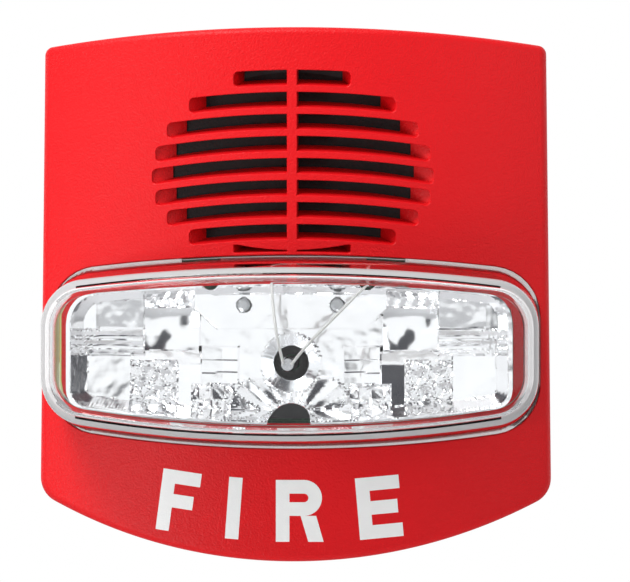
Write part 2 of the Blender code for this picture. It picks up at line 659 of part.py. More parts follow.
def rivet_holes():
    """The rivets' holes in the reflector and in the carrier: (x, z, radius)."""
    z = REFLECTOR.top - RIVET_DROP
    return [(side * RIVET_X, z, RIVET_RADIUS + PASS_CLEARANCE) for side in (-1, 1)]


def reflector_rivets(parent):
    """Two rivets that hold the reflector to its carrier, one each side of the tube."""
    material = paint("grey_rivet", (0.35, 0.35, 0.36), 0.35, 0.8)
    floor = CARRIER_FRONT - CARRIER_WALL - TOUCH_GAP
    head = REFLECTOR_BACK + REFLECTOR_DEPTH / 2 - floor
    for name, (x, z, _) in zip(("left", "right"), rivet_holes()):
        turned(f"reflector_rivet_{name}", material,
               [(1.5 * RIVET_RADIUS, -RIVET_FOOT), (1.5 * RIVET_RADIUS, 0), (RIVET_RADIUS, 0),
                (RIVET_RADIUS, head), (0.6 * RIVET_RADIUS, head + RIVET_CROWN)],
               (x, -floor, z), parent, steps=16)


def carrier(parent):
    """Black box that stands on the board and carries the reflector."""
    bm = bmesh.new()
    inner = inset(CARRIER, CARRIER_WALL)
    loft(bm, [ring(CARRIER, CARRIER_FRONT), ring(CARRIER, ON_BOARD), ring(inner, ON_BOARD),
              ring(inner, CARRIER_FRONT - CARRIER_WALL)])
    black = paint("black_carrier_plastic", (0.02, 0.02, 0.022), 0.5)
    box = add("strobe_carrier", bm, black, parent=parent)
    holes = [(0, TUBE_Z, GROMMET_RADIUS + PASS_CLEARANCE)] + rivet_holes()
    boolean(box, hole_cutter("carrier_holes", holes, CARRIER_FRONT - 2 * CARRIER_WALL,
                             CARRIER_FRONT + THROUGH, 20))


def flash_tube(parent):
    """Xenon tube that points forwards through a rubber grommet, with a metal cap at each end."""
    glass = paint("tube_glass", (0.9, 0.93, 0.95), 0.03, transmission=0.9)
    metal = paint("tube_cap_metal", (0.6, 0.6, 0.6), 0.3, 1.0)
    rubber = paint("black_rubber", (0.012, 0.012, 0.012), 0.75)
    at = (0, -TUBE_BACK, TUBE_Z)
    length = TUBE_LENGTH
    end = TUBE_END * TUBE_RADIUS
    turned("flash_tube", glass, [(end, 0), (TUBE_RADIUS, end), (TUBE_RADIUS, length - end), (end, length)],
           at, parent)
    for name, depth in (("tube_front_cap", TUBE_FRONT + TOUCH_GAP),
                        ("tube_rear_cap", TUBE_BACK - TOUCH_GAP - TUBE_CAP_LENGTH)):
        turned(name, metal, [(0.8 * TUBE_RADIUS, 0), (0.8 * TUBE_RADIUS, TUBE_CAP_LENGTH)],
               (0, -depth, TUBE_Z), parent, steps=16)
    inner = TUBE_RADIUS + PASS_CLEARANCE
    collar = CARRIER_FRONT - CARRIER_WALL - TOUCH_GAP
    foot = collar - GROMMET_FLANGE_THICKNESS
    tip = REFLECTOR_BACK + REFLECTOR_WALL + GROMMET_STAND
    outer = GROMMET_RADIUS + GROMMET_FLANGE
    profile = [(inner, foot), (outer, foot), (outer, collar), (GROMMET_RADIUS, collar),
               (GROMMET_RADIUS, tip), (inner, tip)]
    turned("tube_grommet", rubber, profile, (0, 0, TUBE_Z), parent, capped=False)


def tube_leads(parent):
    """The trigger lead and the anode lead: from the tube's front cap over the reflector to the board."""
    sleeve = paint("white_lead_sleeve", (0.85, 0.84, 0.82), 0.5)
    tip = TUBE_FRONT + TOUCH_GAP + TUBE_CAP_LENGTH + TOUCH_GAP + WIRE_RADIUS
    over = REFLECTOR.top + LEAD_RISE
    start = 0.9 * MM
    wire("trigger_lead", sleeve,
         [(-start, tip, TUBE_Z), (-2.6 * MM, tip, TUBE_Z + 8 * MM),
          (-3.8 * MM, REFLECTOR_RIM + 3 * MM, over - 3 * MM), (-3 * MM, REFLECTOR_RIM, over),
          (4 * MM, REFLECTOR_RIM - 5 * MM, over),
          (14 * MM, REFLECTOR_RIM - 9 * MM, over), (TRIGGER_LEAD_X - 3 * MM, REFLECTOR_RIM - 14 * MM, over),
          (TRIGGER_LEAD_X, REFLECTOR_BACK - 4 * MM, over), (TRIGGER_LEAD_X, ON_BOARD, over)], parent)
    wire("anode_lead", sleeve,
         [(start, tip, TUBE_Z), (5 * MM, tip - 0.5 * MM, TUBE_Z + 5 * MM),
          (13.5 * MM, REFLECTOR_RIM + 4 * MM, REFLECTOR.top - 6 * MM),
          (WIRE_NOTCH_X - 0.3 * MM, REFLECTOR_RIM + 1.5 * MM, REFLECTOR.top - 0.9 * MM),
          (WIRE_NOTCH_X, REFLECTOR_RIM - 3 * MM, REFLECTOR.top + 0.4 * MM),
          (WIRE_NOTCH_X, REFLECTOR_RIM - 9 * MM, REFLECTOR.top - 0.2 * MM),
          (WIRE_NOTCH_X, REFLECTOR_BACK, REFLECTOR.top - 0.2 * MM),
          (WIRE_NOTCH_X, ON_BOARD, REFLECTOR.top)], parent)


def board_edge(x):
    """Height of the board's lower edge at x."""
    return BOARD.bottom + sag(x, BOARD.bottom_half, BOARD.bottom_rise)


def board_screw_places():
    """Two screws near the top and two midway between the carrier and the board's lower edge."""
    x = COVER_WIDTH / 2 - BOARD_SCREW_SIDE
    low = (CARRIER.bottom + board_edge(x)) / 2 + BOARD_SCREW_RAISE
    return [(side * x, z) for z in (COVER.top - BOARD_SCREW_TOP, low) for side in (-1, 1)]


def wall_openings():
    """Two keyholes for the wall box's screws and the entry for the field wiring, as one cutter."""
    bm = bmesh.new()
    half = KEYHOLE_SLOT_WIDTH / 2
    opening = math.asin(half / KEYHOLE_RADIUS)
    for side in (-1, 1):
        z = side * BOX_SCREW_SPACING / 2
        outline = []
        for step in range(KEYHOLE_STEPS):
            angle = math.pi / 2 - opening - step * (math.tau - 2 * opening) / (KEYHOLE_STEPS - 1)
            outline.append((KEYHOLE_RADIUS * math.cos(angle),
                            z - KEYHOLE_LENGTH + KEYHOLE_RADIUS * math.sin(angle)))
        for step in range(SLOT_END_STEPS):
            angle = math.pi - step * math.pi / (SLOT_END_STEPS - 1)
            outline.append((half * math.cos(angle), z + half * math.sin(angle)))
        prism(bm, [(x, -THROUGH, pz) for x, pz in outline], (0, 2 * THROUGH, 0))
    entry = bmesh.ops.create_cube(bm, size=1.0)["verts"]
    bmesh.ops.scale(bm, vec=(WIRE_ENTRY_WIDTH, 2 * THROUGH, WIRE_ENTRY_HEIGHT), verts=entry)
    bmesh.ops.translate(bm, vec=(0, 0, -WIRE_ENTRY_DROP), verts=entry)
    return add("wall_openings", bm, CUTTER)


def back_housing(parent):
    """Shallow tray that hangs on the wall box and holds the circuit board on four bosses."""
    bm = bmesh.new()
    inner = inset(TRAY, TRAY_WALL)
    loft(bm, [ring(TRAY, 0), ring(TRAY, TRAY_RIM), ring(inner, TRAY_RIM), ring(inner, TRAY_FLOOR)])
    tray = add("back_housing", bm, paint("black_housing_plastic", (0.03, 0.03, 0.032), 0.5), parent=parent)
    boss_top = BOARD_DEPTH - TOUCH_GAP
    bosses = [(x, z, BOSS_RADIUS) for x, z in board_screw_places()]
    boolean(tray, hole_cutter("bosses", bosses, TRAY_FLOOR / 2, boss_top, 20), "UNION")
    drills = [(x, z, SCREW_SHANK_RADIUS + PASS_CLEARANCE) for x, z in board_screw_places()]
    boolean(tray, hole_cutter("boss_drills", drills, TRAY_FLOOR - TOUCH_GAP, boss_top + THROUGH, 12))
    boolean(tray, wall_openings())
    gap = (LATCH_WIDTH + 2 * MM, TRAY_RIM, 3 * TRAY_WALL)
    boolean(tray, box_cutter("latch_gap", gap, (0, -TRAY_FLOOR - TOUCH_GAP - TRAY_RIM / 2, TRAY.top)))


def circuit_board(parent):
    bm = bmesh.new()
    loft(bm, [ring(BOARD, BOARD_DEPTH), ring(BOARD, BOARD_FRONT)])
    board = add("circuit_board", bm, paint("green_board", (0.02, 0.16, 0.07), 0.4), parent=parent)
    holes = [(x, z, SCREW_SHANK_RADIUS + PASS_CLEARANCE) for x, z in board_screw_places()]
    boolean(board, hole_cutter("board_holes", holes, 0, BOARD_FRONT + THROUGH, 12))
    steel = paint("zinc_screw", (0.6, 0.6, 0.58), 0.35, 1.0)
    for number, (x, z) in enumerate(board_screw_places(), 1):
        shank = BOARD_THICKNESS + SCREW_GRIP
        turned(f"board_screw_{number}", steel,
               [(SCREW_SHANK_RADIUS, -shank), (SCREW_SHANK_RADIUS, 0), (SCREW_HEAD_RADIUS, 0),
                (SCREW_HEAD_RADIUS, 0.6 * SCREW_HEAD_HEIGHT), (0.6 * SCREW_HEAD_RADIUS, SCREW_HEAD_HEIGHT)],
               (x, -ON_BOARD, z), parent, steps=16)


def board_parts(parent):
    """The flash capacitor, trigger transformer, choke and small parts, inside and below the carrier."""
    sleeve = paint("capacitor_sleeve", (0.05, 0.06, 0.12), 0.35)
    depth = ON_BOARD + CAPACITOR_RADIUS + TOUCH_GAP
    bead = CAPACITOR_BEAD
    start = -CARRIER_INNER_HALF + CARRIER.bottom_corner / 2
    can = turned("flash_capacitor", sleeve,
                 [(CAPACITOR_RADIUS - bead, 0), (CAPACITOR_RADIUS, bead),
                  (CAPACITOR_RADIUS, CAPACITOR_LENGTH - bead), (CAPACITOR_RADIUS - bead, CAPACITOR_LENGTH)],
                 (start, -depth, CARRIER_MIDDLE_Z), parent)
    can.rotation_euler = (0, 0, math.pi / 2)
    high = CHOKE_HEIGHT - CHOKE_FLANGE
    turned("charging_choke", paint("dark_ferrite", (0.04, 0.04, 0.045), 0.6),
           [(CHOKE_RADIUS, 0), (CHOKE_RADIUS, CHOKE_FLANGE), (CHOKE_CORE_RADIUS, CHOKE_FLANGE),
            (CHOKE_CORE_RADIUS, high), (CHOKE_RADIUS, high), (CHOKE_RADIUS, CHOKE_HEIGHT)],
           (CARRIER_INNER_HALF - CHOKE_RADIUS - CHOKE_GAP, -ON_BOARD, CARRIER_MIDDLE_Z), parent)
    block("trigger_transformer", paint("yellow_coil_tape", (0.75, 0.55, 0.05), 0.5),
          (TRANSFORMER_WIDTH, TRANSFORMER_SIDE, TRANSFORMER_SIDE),
          (TRANSFORMER_X, -ON_BOARD - TRANSFORMER_SIDE / 2, CARRIER_MIDDLE_Z + 1 * MM), parent)
    beside = TERMINAL_BLOCK_WIDTH / 2 + BESIDE_TERMINALS
    z = TERMINAL_Z - SMALL_PARTS_DROP
    rim = 0.15 * INPUT_CAPACITOR_RADIUS
    turned("input_capacitor", sleeve,
           [(INPUT_CAPACITOR_RADIUS, 0), (INPUT_CAPACITOR_RADIUS, INPUT_CAPACITOR_HEIGHT - rim),
            (INPUT_CAPACITOR_RADIUS - rim, INPUT_CAPACITOR_HEIGHT)], (beside, -ON_BOARD, z), parent)
    block("processor_chip", paint("chip_epoxy", (0.025, 0.025, 0.028), 0.5),
          (CHIP_SIDE, CHIP_HEIGHT, CHIP_SIDE), (-beside, -ON_BOARD - CHIP_HEIGHT / 2, z), parent,
          chamfer=0.15 * MM)


def terminals(parent):
    """Screw terminals for the field wiring, below the flash unit, reached with the cover off."""
    bm = bmesh.new()
    size = (TERMINAL_BLOCK_WIDTH, TERMINAL_BLOCK_DEPTH, TERMINAL_BLOCK_HEIGHT)
    bmesh.ops.create_cube(bm, size=1.0)
    bmesh.ops.scale(bm, vec=size, verts=bm.verts)
    bmesh.ops.bevel(bm, geom=bm.edges[:], offset=0.4 * MM, segments=1, affect="EDGES")
    front = ON_BOARD + TERMINAL_BLOCK_DEPTH
    green = paint("green_terminal_plastic", (0.03, 0.3, 0.12), 0.45)
    body = add("terminal_block", bm, green, (0, -(ON_BOARD + front) / 2, TERMINAL_Z), parent)
    pitch = TERMINAL_BLOCK_WIDTH / TERMINAL_COUNT
    places = [(k - (TERMINAL_COUNT - 1) / 2) * pitch for k in range(TERMINAL_COUNT)]
    z = TERMINAL_Z + TERMINAL_WELL_RAISE
    floor = front - TERMINAL_WELL_DEPTH
    boolean(body, hole_cutter("terminal_wells", [(x, z, TERMINAL_WELL_RADIUS) for x in places],
                              floor, front + THROUGH, 20))
    bm = bmesh.new()
    for x in places:
        bars = bmesh.ops.create_cube(bm, size=1.0)["verts"]
        bmesh.ops.scale(bm, vec=(WIRE_PORT_WIDTH, WIRE_PORT_DEPTH, TERMINAL_BLOCK_HEIGHT), verts=bars)
        low = TERMINAL_Z - TERMINAL_BLOCK_HEIGHT / 2 - WIRE_PORT_DROP
        bmesh.ops.translate(bm, vec=(x, -ON_BOARD - WIRE_PORT_DEPTH / 2 - 1 * MM, low), verts=bars)
    boolean(body, add("wire_ports", bm, CUTTER))
    steel = paint("plated_terminal_screw", (0.65, 0.62, 0.55), 0.3, 1.0)
    radius = TERMINAL_WELL_RADIUS - TERMINAL_SCREW_CLEARANCE
    height = TERMINAL_SCREW_HEIGHT
    seat = floor + TOUCH_GAP
    for number, x in enumerate(places, 1):
        screw = turned(f"terminal_screw_{number}", steel,
                       [(radius, 0), (radius, height - TERMINAL_SCREW_CHAMFER),
                        (radius - TERMINAL_SCREW_CHAMFER, height)], (x, -seat, z), parent, steps=20)
        driver = (2 * TERMINAL_WELL_RADIUS, 2 * DRIVER_SLOT_WIDTH, DRIVER_SLOT_WIDTH)
        boolean(screw, box_cutter(f"screw_slot_{number}", driver, (x, -seat - height, z)))


def horn(parent):
    """Piezo horn: a cup on the board, a brass disc with its ceramic, a clamp ring and a throat cap."""
    black = paint("black_horn_plastic", (0.015, 0.015, 0.016), 0.45)
    brass = paint("brass_disc", (0.75, 0.55, 0.2), 0.3, 1.0)
    ceramic = paint("white_ceramic", (0.8, 0.78, 0.72), 0.5)
    at = (0, -ON_BOARD, HORN_Z)
    cap_back = HORN_CAP_BACK - ON_BOARD
    seat = cap_back - HORN_DISC_SETBACK
    inner = HORN_RADIUS - HORN_WALL
    ledge = HORN_DISC_RADIUS - HORN_DISC_LEDGE
    hole = HORN_FLOOR_HOLE_RADIUS
    turned("horn_housing", black,
           [(hole, 0), (HORN_RADIUS, 0), (HORN_RADIUS, cap_back - TOUCH_GAP), (inner, cap_back - TOUCH_GAP),
            (inner, seat), (ledge, seat), (ledge, HORN_WALL), (hole, HORN_WALL)],
           at, parent, steps=2 * ROUND_STEPS, capped=False)
    disc = seat + TOUCH_GAP
    turned("horn_disc", brass, [(HORN_DISC_RADIUS, disc), (HORN_DISC_RADIUS, disc + DISC_THICKNESS)],
           at, parent, steps=2 * ROUND_STEPS)
    face_depth = disc + DISC_THICKNESS + TOUCH_GAP
    patch = 0.6 * HORN_DISC_RADIUS
    turned("horn_ceramic", ceramic, [(patch, face_depth), (patch, face_depth + DISC_THICKNESS)],
           at, parent, steps=2 * ROUND_STEPS)
    edge = inner - TOUCH_GAP
    top = cap_back - 2 * TOUCH_GAP
    turned("horn_clamp_ring", black,
           [(ledge, face_depth), (edge, face_depth), (edge, top), (ledge, top)],
           at, parent, steps=2 * ROUND_STEPS, capped=False)
    thick = HORN_CAP_THICKNESS
    turned("horn_throat_cap", black,
           [(HORN_THROAT_RADIUS, cap_back), (HORN_RADIUS, cap_back), (HORN_RADIUS, cap_back + 0.7 * thick),
            (HORN_RADIUS - 0.5 * MM, cap_back + thick), (HORN_THROAT_RADIUS + 1 * MM, cap_back + thick),
            (HORN_THROAT_RADIUS, cap_back + 0.7 * thick)],
           at, parent, steps=2 * ROUND_STEPS, capped=False)
    back = ON_BOARD + seat
    for name, x, colour in (("horn_lead_red", 1.5 * MM, (0.6, 0.02, 0.02)),
                            ("horn_lead_black", -1.5 * MM, (0.02, 0.02, 0.02))):
        wire(name, paint(name + "_sleeve", colour, 0.5),
             [(x, ON_BOARD, HORN_Z), (1.2 * x, ON_BOARD + 1 * MM, HORN_Z),
              (2.2 * x, (ON_BOARD + back) / 2, HORN_Z + x), (1.5 * x, back, HORN_Z)], parent)


def cover_latch(parent):
    """Sprung tongue at the top of the tray that grips the cover; pressing it in frees the cover."""
    bm = bmesh.new()
    low = 0.0
    high = LATCH_THICKNESS
    root = TOUCH_GAP / 2
    end = TRAY_RIM + LATCH_REACH - TRAY_FLOOR - TOUCH_GAP
    barb = high + LATCH_BARB
    side_view = [(root, low), (end - 1.5 * MM, low), (end, high / 2), (end - 0.5 * MM, high),
                 (end - 3.5 * MM, high), (end - 4.3 * MM, barb), (end - 5.5 * MM, high), (root, high)]
    half = LATCH_WIDTH / 2
    prism(bm, [(-half, -depth, z) for depth, z in side_view], (LATCH_WIDTH, 0, 0))
    at = (0, -TRAY_FLOOR - TOUCH_GAP, TRAY.top - LATCH_THICKNESS - LATCH_TOP_GAP)
    add("cover_latch", bm, paint("black_latch_plastic", (0.03, 0.03, 0.032), 0.5), at, parent)


def candela_selector(parent):
    """Slide that sets the flash strength, with the label that shows through the end of the lens."""
    group = empty("candela_selector", (LABEL_X, -SELECTOR_FRONT, SELECTOR_Z), parent)
    bm = bmesh.new()
    outer = -LABEL_WIDTH / 2 - 0.1 * MM
    step = TRAY_WALL + LABEL_WIDTH / 2
    plan = [(outer, 0), (SELECTOR_WIDTH, 0), (SELECTOR_WIDTH, SELECTOR_FRONT - ON_BOARD),
            (step, SELECTOR_FRONT - ON_BOARD), (step, SELECTOR_FRONT - TRAY_RIM - TOUCH_GAP),
            (outer, SELECTOR_FRONT - TRAY_RIM - TOUCH_GAP)]
    half = SELECTOR_LENGTH / 2
    prism(bm, [(x, y, -half) for x, y in plan], (0, 0, SELECTOR_LENGTH))
    add("candela_slider", bm, paint("white_slider_plastic", (0.75, 0.75, 0.72), 0.5), parent=group)
    block("candela_label", paint("yellow_green_label", (0.62, 0.8, 0.18), 0.5),
          (LABEL_WIDTH, LABEL_THICKNESS, SELECTOR_LENGTH), (0, -TOUCH_GAP - LABEL_THICKNESS / 2, 0), group, 0)


for old in list(bpy.data.objects):
    bpy.data.objects.remove(old)
CUTTER = paint("cutter", (0.5, 0.5, 0.5), 0.5)
base = empty("base")
cover_group = empty("cover", parent=base)
front_cover(cover_group)
acoustic_screen(cover_group)
notch_guide = flange_notch()
lens(base, notch_guide)
lens_gasket(base, notch_guide)
lens_bezel(base)
lens_posts(base)
reflector(base)
reflector_rivets(base)
carrier(base)
flash_tube(base)
tube_leads(base)
back_housing(base)
circuit_board(base)
board_parts(base)
terminals(base)
horn(base)
cover_latch(base)
candela_selector(base)
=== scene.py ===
"""The looks of a wall-mounted horn strobe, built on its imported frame.

Sizes are in metres. The wall face is the plane y = 0, the front looks along -Y and +Z is up.
"Depth" is the distance off the wall, so a point at depth d has y = -d.
"""
import bmesh
import bpy
import numpy as np
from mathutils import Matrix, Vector


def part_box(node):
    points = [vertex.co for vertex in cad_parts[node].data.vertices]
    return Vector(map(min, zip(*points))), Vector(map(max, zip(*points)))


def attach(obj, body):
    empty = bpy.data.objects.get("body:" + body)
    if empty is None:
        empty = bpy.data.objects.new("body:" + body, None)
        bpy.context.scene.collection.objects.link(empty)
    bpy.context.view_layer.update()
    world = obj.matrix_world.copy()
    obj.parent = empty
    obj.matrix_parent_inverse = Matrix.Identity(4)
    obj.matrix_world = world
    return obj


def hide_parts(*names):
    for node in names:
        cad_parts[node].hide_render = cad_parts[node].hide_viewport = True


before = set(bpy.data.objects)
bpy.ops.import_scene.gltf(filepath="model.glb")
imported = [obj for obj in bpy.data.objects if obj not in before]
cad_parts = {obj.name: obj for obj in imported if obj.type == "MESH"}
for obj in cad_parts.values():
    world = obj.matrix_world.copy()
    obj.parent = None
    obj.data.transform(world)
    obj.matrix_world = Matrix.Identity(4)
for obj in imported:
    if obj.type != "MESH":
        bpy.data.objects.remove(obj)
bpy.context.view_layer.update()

MM = 0.001

# ---------------------------------------------------------------------------------------------
# Studio. A pale floor well below the device, a white room with darker patches on the viewer's
# side for bright surfaces to mirror, a soft key lamp high on the left, a fill and a long lens.
# ---------------------------------------------------------------------------------------------
floor_half, floor_z = 1.1, -0.30
floor_mesh = bpy.data.meshes.new("floor")
floor_mesh.from_pydata([(x, y, floor_z) for x, y in ((-floor_half, -floor_half), (floor_half, -floor_half),
                                                     (floor_half, floor_half), (-floor_half, floor_half))],
                       [], [(0, 1, 2, 3)])
floor = bpy.data.objects.new("floor", floor_mesh)
bpy.context.collection.objects.link(floor)
floor_paint = bpy.data.materials.new("pale_floor")
floor_paint.use_nodes = True
floor_paint.node_tree.nodes["Principled BSDF"].inputs["Base Color"].default_value = (0.72, 0.72, 0.73, 1)
floor_paint.node_tree.nodes["Principled BSDF"].inputs["Roughness"].default_value = 0.8
floor_mesh.materials.append(floor_paint)

bpy.context.scene.view_settings.view_transform = "Standard"
room = bpy.data.worlds.new("room")
room.use_nodes = True
bpy.context.scene.world = room
sky, wires = room.node_tree.nodes, room.node_tree.links
heading = sky.new("ShaderNodeTexCoord")
split = sky.new("ShaderNodeSeparateXYZ")
wires.new(heading.outputs["Generated"], split.inputs[0])
patches = sky.new("ShaderNodeTexNoise")
patches.inputs["Scale"].default_value = 1.7
patches.inputs["Detail"].default_value = 1
wires.new(heading.outputs["Generated"], patches.inputs["Vector"])
depth_of_patch = sky.new("ShaderNodeMapRange")
depth_of_patch.inputs["From Min"].default_value, depth_of_patch.inputs["From Max"].default_value = 0.49, 0.56
wires.new(patches.outputs["Fac"], depth_of_patch.inputs["Value"])
front_side = sky.new("ShaderNodeMapRange")
front_side.inputs["From Min"].default_value, front_side.inputs["From Max"].default_value = 0.1, -0.2
wires.new(split.outputs["Y"], front_side.inputs["Value"])
dark = sky.new("ShaderNodeMath")
dark.operation = "MULTIPLY"
wires.new(depth_of_patch.outputs[0], dark.inputs[0])
wires.new(front_side.outputs[0], dark.inputs[1])
tone = sky.new("ShaderNodeMix")
tone.data_type = "RGBA"
tone.inputs[6].default_value = (1.12, 1.12, 1.13, 1)
tone.inputs[7].default_value = (0.06, 0.06, 0.07, 1)
wires.new(dark.outputs[0], tone.inputs["Factor"])
ray = sky.new("ShaderNodeLightPath")
dim = sky.new("ShaderNodeMix")
dim.data_type = "RGBA"
dim.inputs[7].default_value = (0.42, 0.42, 0.43, 1)
wires.new(ray.outputs["Is Diffuse Ray"], dim.inputs["Factor"])
wires.new(tone.outputs[2], dim.inputs[6])
plain = sky.new("ShaderNodeMix")
plain.data_type = "RGBA"
plain.inputs[7].default_value = (1.0, 1.0, 1.0, 1)
wires.new(ray.outputs["Is Camera Ray"], plain.inputs["Factor"])
wires.new(dim.outputs[2], plain.inputs[6])
wires.new(plain.outputs[2], sky["Background"].inputs["Color"])


def lamp(name, place, aim, size, power):
    """A soft square lamp of a size at a place, turned to its aim."""
    light = bpy.data.lights.new(name, "AREA")
    light.shape = "SQUARE"
    light.size = size
    light.energy = power
    obj = bpy.data.objects.new(name, light)
    bpy.context.collection.objects.link(obj)
    obj.location = place
    obj.rotation_euler = (Vector(aim) - Vector(place)).to_track_quat("-Z", "Y").to_euler()


lamp("key_lamp", (-0.30, -0.50, 0.72), (0, -0.03, 0.01), 0.40, 7.2)
lamp("fill_lamp", (0.60, -0.50, 0.15), (0, -0.03, 0), 0.40, 0.8)
lamp("low_lamp", (-0.50, -0.52, -0.14), (-0.04, -0.03, -0.04), 0.16, 1.6)

camera_place, camera_aim = Vector((0.035, -0.80, 0.0)), Vector((0.0050, -0.02, 0.0008))
eye = bpy.data.cameras.new("camera")
eye.lens, eye.sensor_width = 180.0, 36.0
camera = bpy.data.objects.new("camera", eye)
bpy.context.collection.objects.link(camera)
camera.location = camera_place
camera.rotation_euler = (camera_aim - camera_place).to_track_quat("-Z", "Y").to_euler()
bpy.context.scene.camera = camera

# ---------------------------------------------------------------------------------------------
# Back housing. A shallow black ABS tray, injection moulded with a fine spark-eroded grain, that
# hangs on the wall box by two keyholes and carries the board on four bosses.
# ---------------------------------------------------------------------------------------------


def finish(name, colour, shade, roughness, drift=40.0, grain=0.0, relief=0.0, metallic=0.0, rough_by=0.08):
    """A material whose colour drifts between colour and shade over 1/drift metres, if they differ.

    Its fine grain is 1/grain metres wide, stands relief metres high and varies the roughness by
    rough_by either way.
    """
    material = bpy.data.materials.new(name)
    material.use_nodes = True
    nodes, links = material.node_tree.nodes, material.node_tree.links
    shader = nodes["Principled BSDF"]
    shader.inputs["Metallic"].default_value = metallic
    place = nodes.new("ShaderNodeTexCoord")
    if shade == colour:
        shader.inputs["Base Color"].default_value = (*colour, 1)
    else:
        cloud = nodes.new("ShaderNodeTexNoise")
        cloud.inputs["Scale"].default_value = drift
        cloud.inputs["Detail"].default_value = 3
        links.new(place.outputs["Object"], cloud.inputs["Vector"])
        mix = nodes.new("ShaderNodeMix")
        mix.data_type = "RGBA"
        mix.inputs[6].default_value = (*colour, 1)
        mix.inputs[7].default_value = (*shade, 1)
        links.new(cloud.outputs["Fac"], mix.inputs["Factor"])
        links.new(mix.outputs[2], shader.inputs["Base Color"])
    fine = nodes.new("ShaderNodeTexNoise")
    fine.inputs["Scale"].default_value = grain if grain else 4 * drift
    fine.inputs["Detail"].default_value = 2
    links.new(place.outputs["Object"], fine.inputs["Vector"])
    spread = nodes.new("ShaderNodeMapRange")
    spread.inputs["To Min"].default_value = max(roughness - rough_by, 0.02)
    spread.inputs["To Max"].default_value = roughness + rough_by
    links.new(fine.outputs["Fac"], spread.inputs["Value"])
    links.new(spread.outputs[0], shader.inputs["Roughness"])
    if relief:
        bump = nodes.new("ShaderNodeBump")
        bump.inputs["Distance"].default_value = relief
        bump.inputs["Strength"].default_value = 1.0
        links.new(fine.outputs["Fac"], bump.inputs["Height"])
        links.new(bump.outputs["Normal"], shader.inputs["Normal"])
    return material


def dress(material, *names):
    """Put one material on CAD nodes."""
    for name in names:
        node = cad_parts[name]
        for place in node.material_slots:
            place.material = material


black_abs = finish("black_abs", (0.020, 0.020, 0.022), (0.030, 0.030, 0.032), 0.48, 60, 2600, 0.00004)
dress(black_abs, "back_housing")

# ---------------------------------------------------------------------------------------------
# Circuit board. Glass-epoxy laminate under green solder resist, with tinned tracks and pads,
# held to the bosses by four zinc-plated pan-head screws.
# ---------------------------------------------------------------------------------------------


def solder_resist():
    """Green lacquer over copper tracks: bands from a brick pattern that is lighter over copper."""
    material = finish("solder_resist", (0.010, 0.110, 0.045), (0.014, 0.150, 0.060), 0.32, 90, 900, 0.00002)
    nodes, links = material.node_tree.nodes, material.node_tree.links
    place = next(node for node in nodes if node.type == "TEX_COORD")
    lay = nodes.new("ShaderNodeMapping")
    lay.inputs["Rotation"].default_value = (np.pi / 2, 0, 0)
    links.new(place.outputs["Object"], lay.inputs["Vector"])
    tracks = nodes.new("ShaderNodeTexBrick")
    tracks.inputs["Scale"].default_value = 160
    tracks.inputs["Mortar Size"].default_value = 0.035
    tracks.inputs["Color1"].default_value = (0.010, 0.110, 0.045, 1)
    tracks.inputs["Color2"].default_value = (0.016, 0.140, 0.055, 1)
    tracks.inputs["Mortar"].default_value = (0.045, 0.240, 0.100, 1)
    links.new(lay.outputs[0], tracks.inputs["Vector"])
    links.new(tracks.outputs["Color"], nodes["Principled BSDF"].inputs["Base Color"])
    return material


zinc = finish("zinc_plate", (0.62, 0.62, 0.60), (0.50, 0.51, 0.52), 0.30, 300, 1500, 0.00001, metallic=1.0)
dress(solder_resist(), "circuit_board")
dress(zinc, "board_screw_1", "board_screw_2", "board_screw_3", "board_screw_4")

# ---------------------------------------------------------------------------------------------
# Parts on the board. An electrolytic capacitor in its printed shrink sleeve, a ferrite choke, a
# trigger transformer in polyester tape, a small capacitor and the processor's epoxy package.
# ---------------------------------------------------------------------------------------------
sleeve_dark = finish("capacitor_sleeve", (0.020, 0.026, 0.070), (0.030, 0.036, 0.090), 0.22, 120, 1200,
                     0.00001)
dress(sleeve_dark, "flash_capacitor", "input_capacitor")
dress(finish("ferrite", (0.035, 0.036, 0.040), (0.060, 0.060, 0.064), 0.60, 500, 3500, 0.00006),
      "charging_choke")
dress(finish("coil_tape", (0.72, 0.50, 0.05), (0.80, 0.60, 0.10), 0.28, 80, 700, 0.00003),
      "trigger_transformer")
dress(finish("chip_epoxy", (0.022, 0.022, 0.025), (0.034, 0.034, 0.036), 0.55, 300, 5000, 0.00002),
      "processor_chip")

# ---------------------------------------------------------------------------------------------
# Terminal block. Green polyamide, soldered to the board below the flash unit, with four plated
# cage screws that turn in their wells.
# ---------------------------------------------------------------------------------------------
dress(finish("green_polyamide", (0.020, 0.230, 0.085), (0.030, 0.280, 0.110), 0.42, 90, 2400, 0.00003),
      "terminal_block")
cage_steel = finish("cage_steel", (0.66, 0.63, 0.55), (0.52, 0.50, 0.46), 0.28, 400, 1800, 0.00001,
                    metallic=1.0)
dress(cage_steel, "terminal_screw_1", "terminal_screw_2", "terminal_screw_3", "terminal_screw_4")

# ---------------------------------------------------------------------------------------------
# Horn. A black moulded cup holds a spun brass disc with its fired ceramic patch; a ring clamps
# the disc, a throat cap closes the cup, and two stranded leads run back to the board.
# ---------------------------------------------------------------------------------------------
dress(black_abs, "horn_housing", "horn_clamp_ring", "horn_throat_cap")
dress(finish("spun_brass", (0.78, 0.56, 0.22), (0.66, 0.46, 0.17), 0.25, 200, 1400, 0.00001, metallic=1.0),
      "horn_disc")
dress(finish("fired_ceramic", (0.80, 0.78, 0.72), (0.72, 0.70, 0.64), 0.55, 250, 4000, 0.00002),
      "horn_ceramic")
dress(finish("red_sleeve", (0.55, 0.015, 0.015), (0.45, 0.010, 0.010), 0.40, 200, 3000, 0.00001),
      "horn_lead_red")
dress(finish("black_sleeve", (0.018, 0.018, 0.018), (0.028, 0.028, 0.028), 0.40, 200, 3000, 0.00001),
      "horn_lead_black")

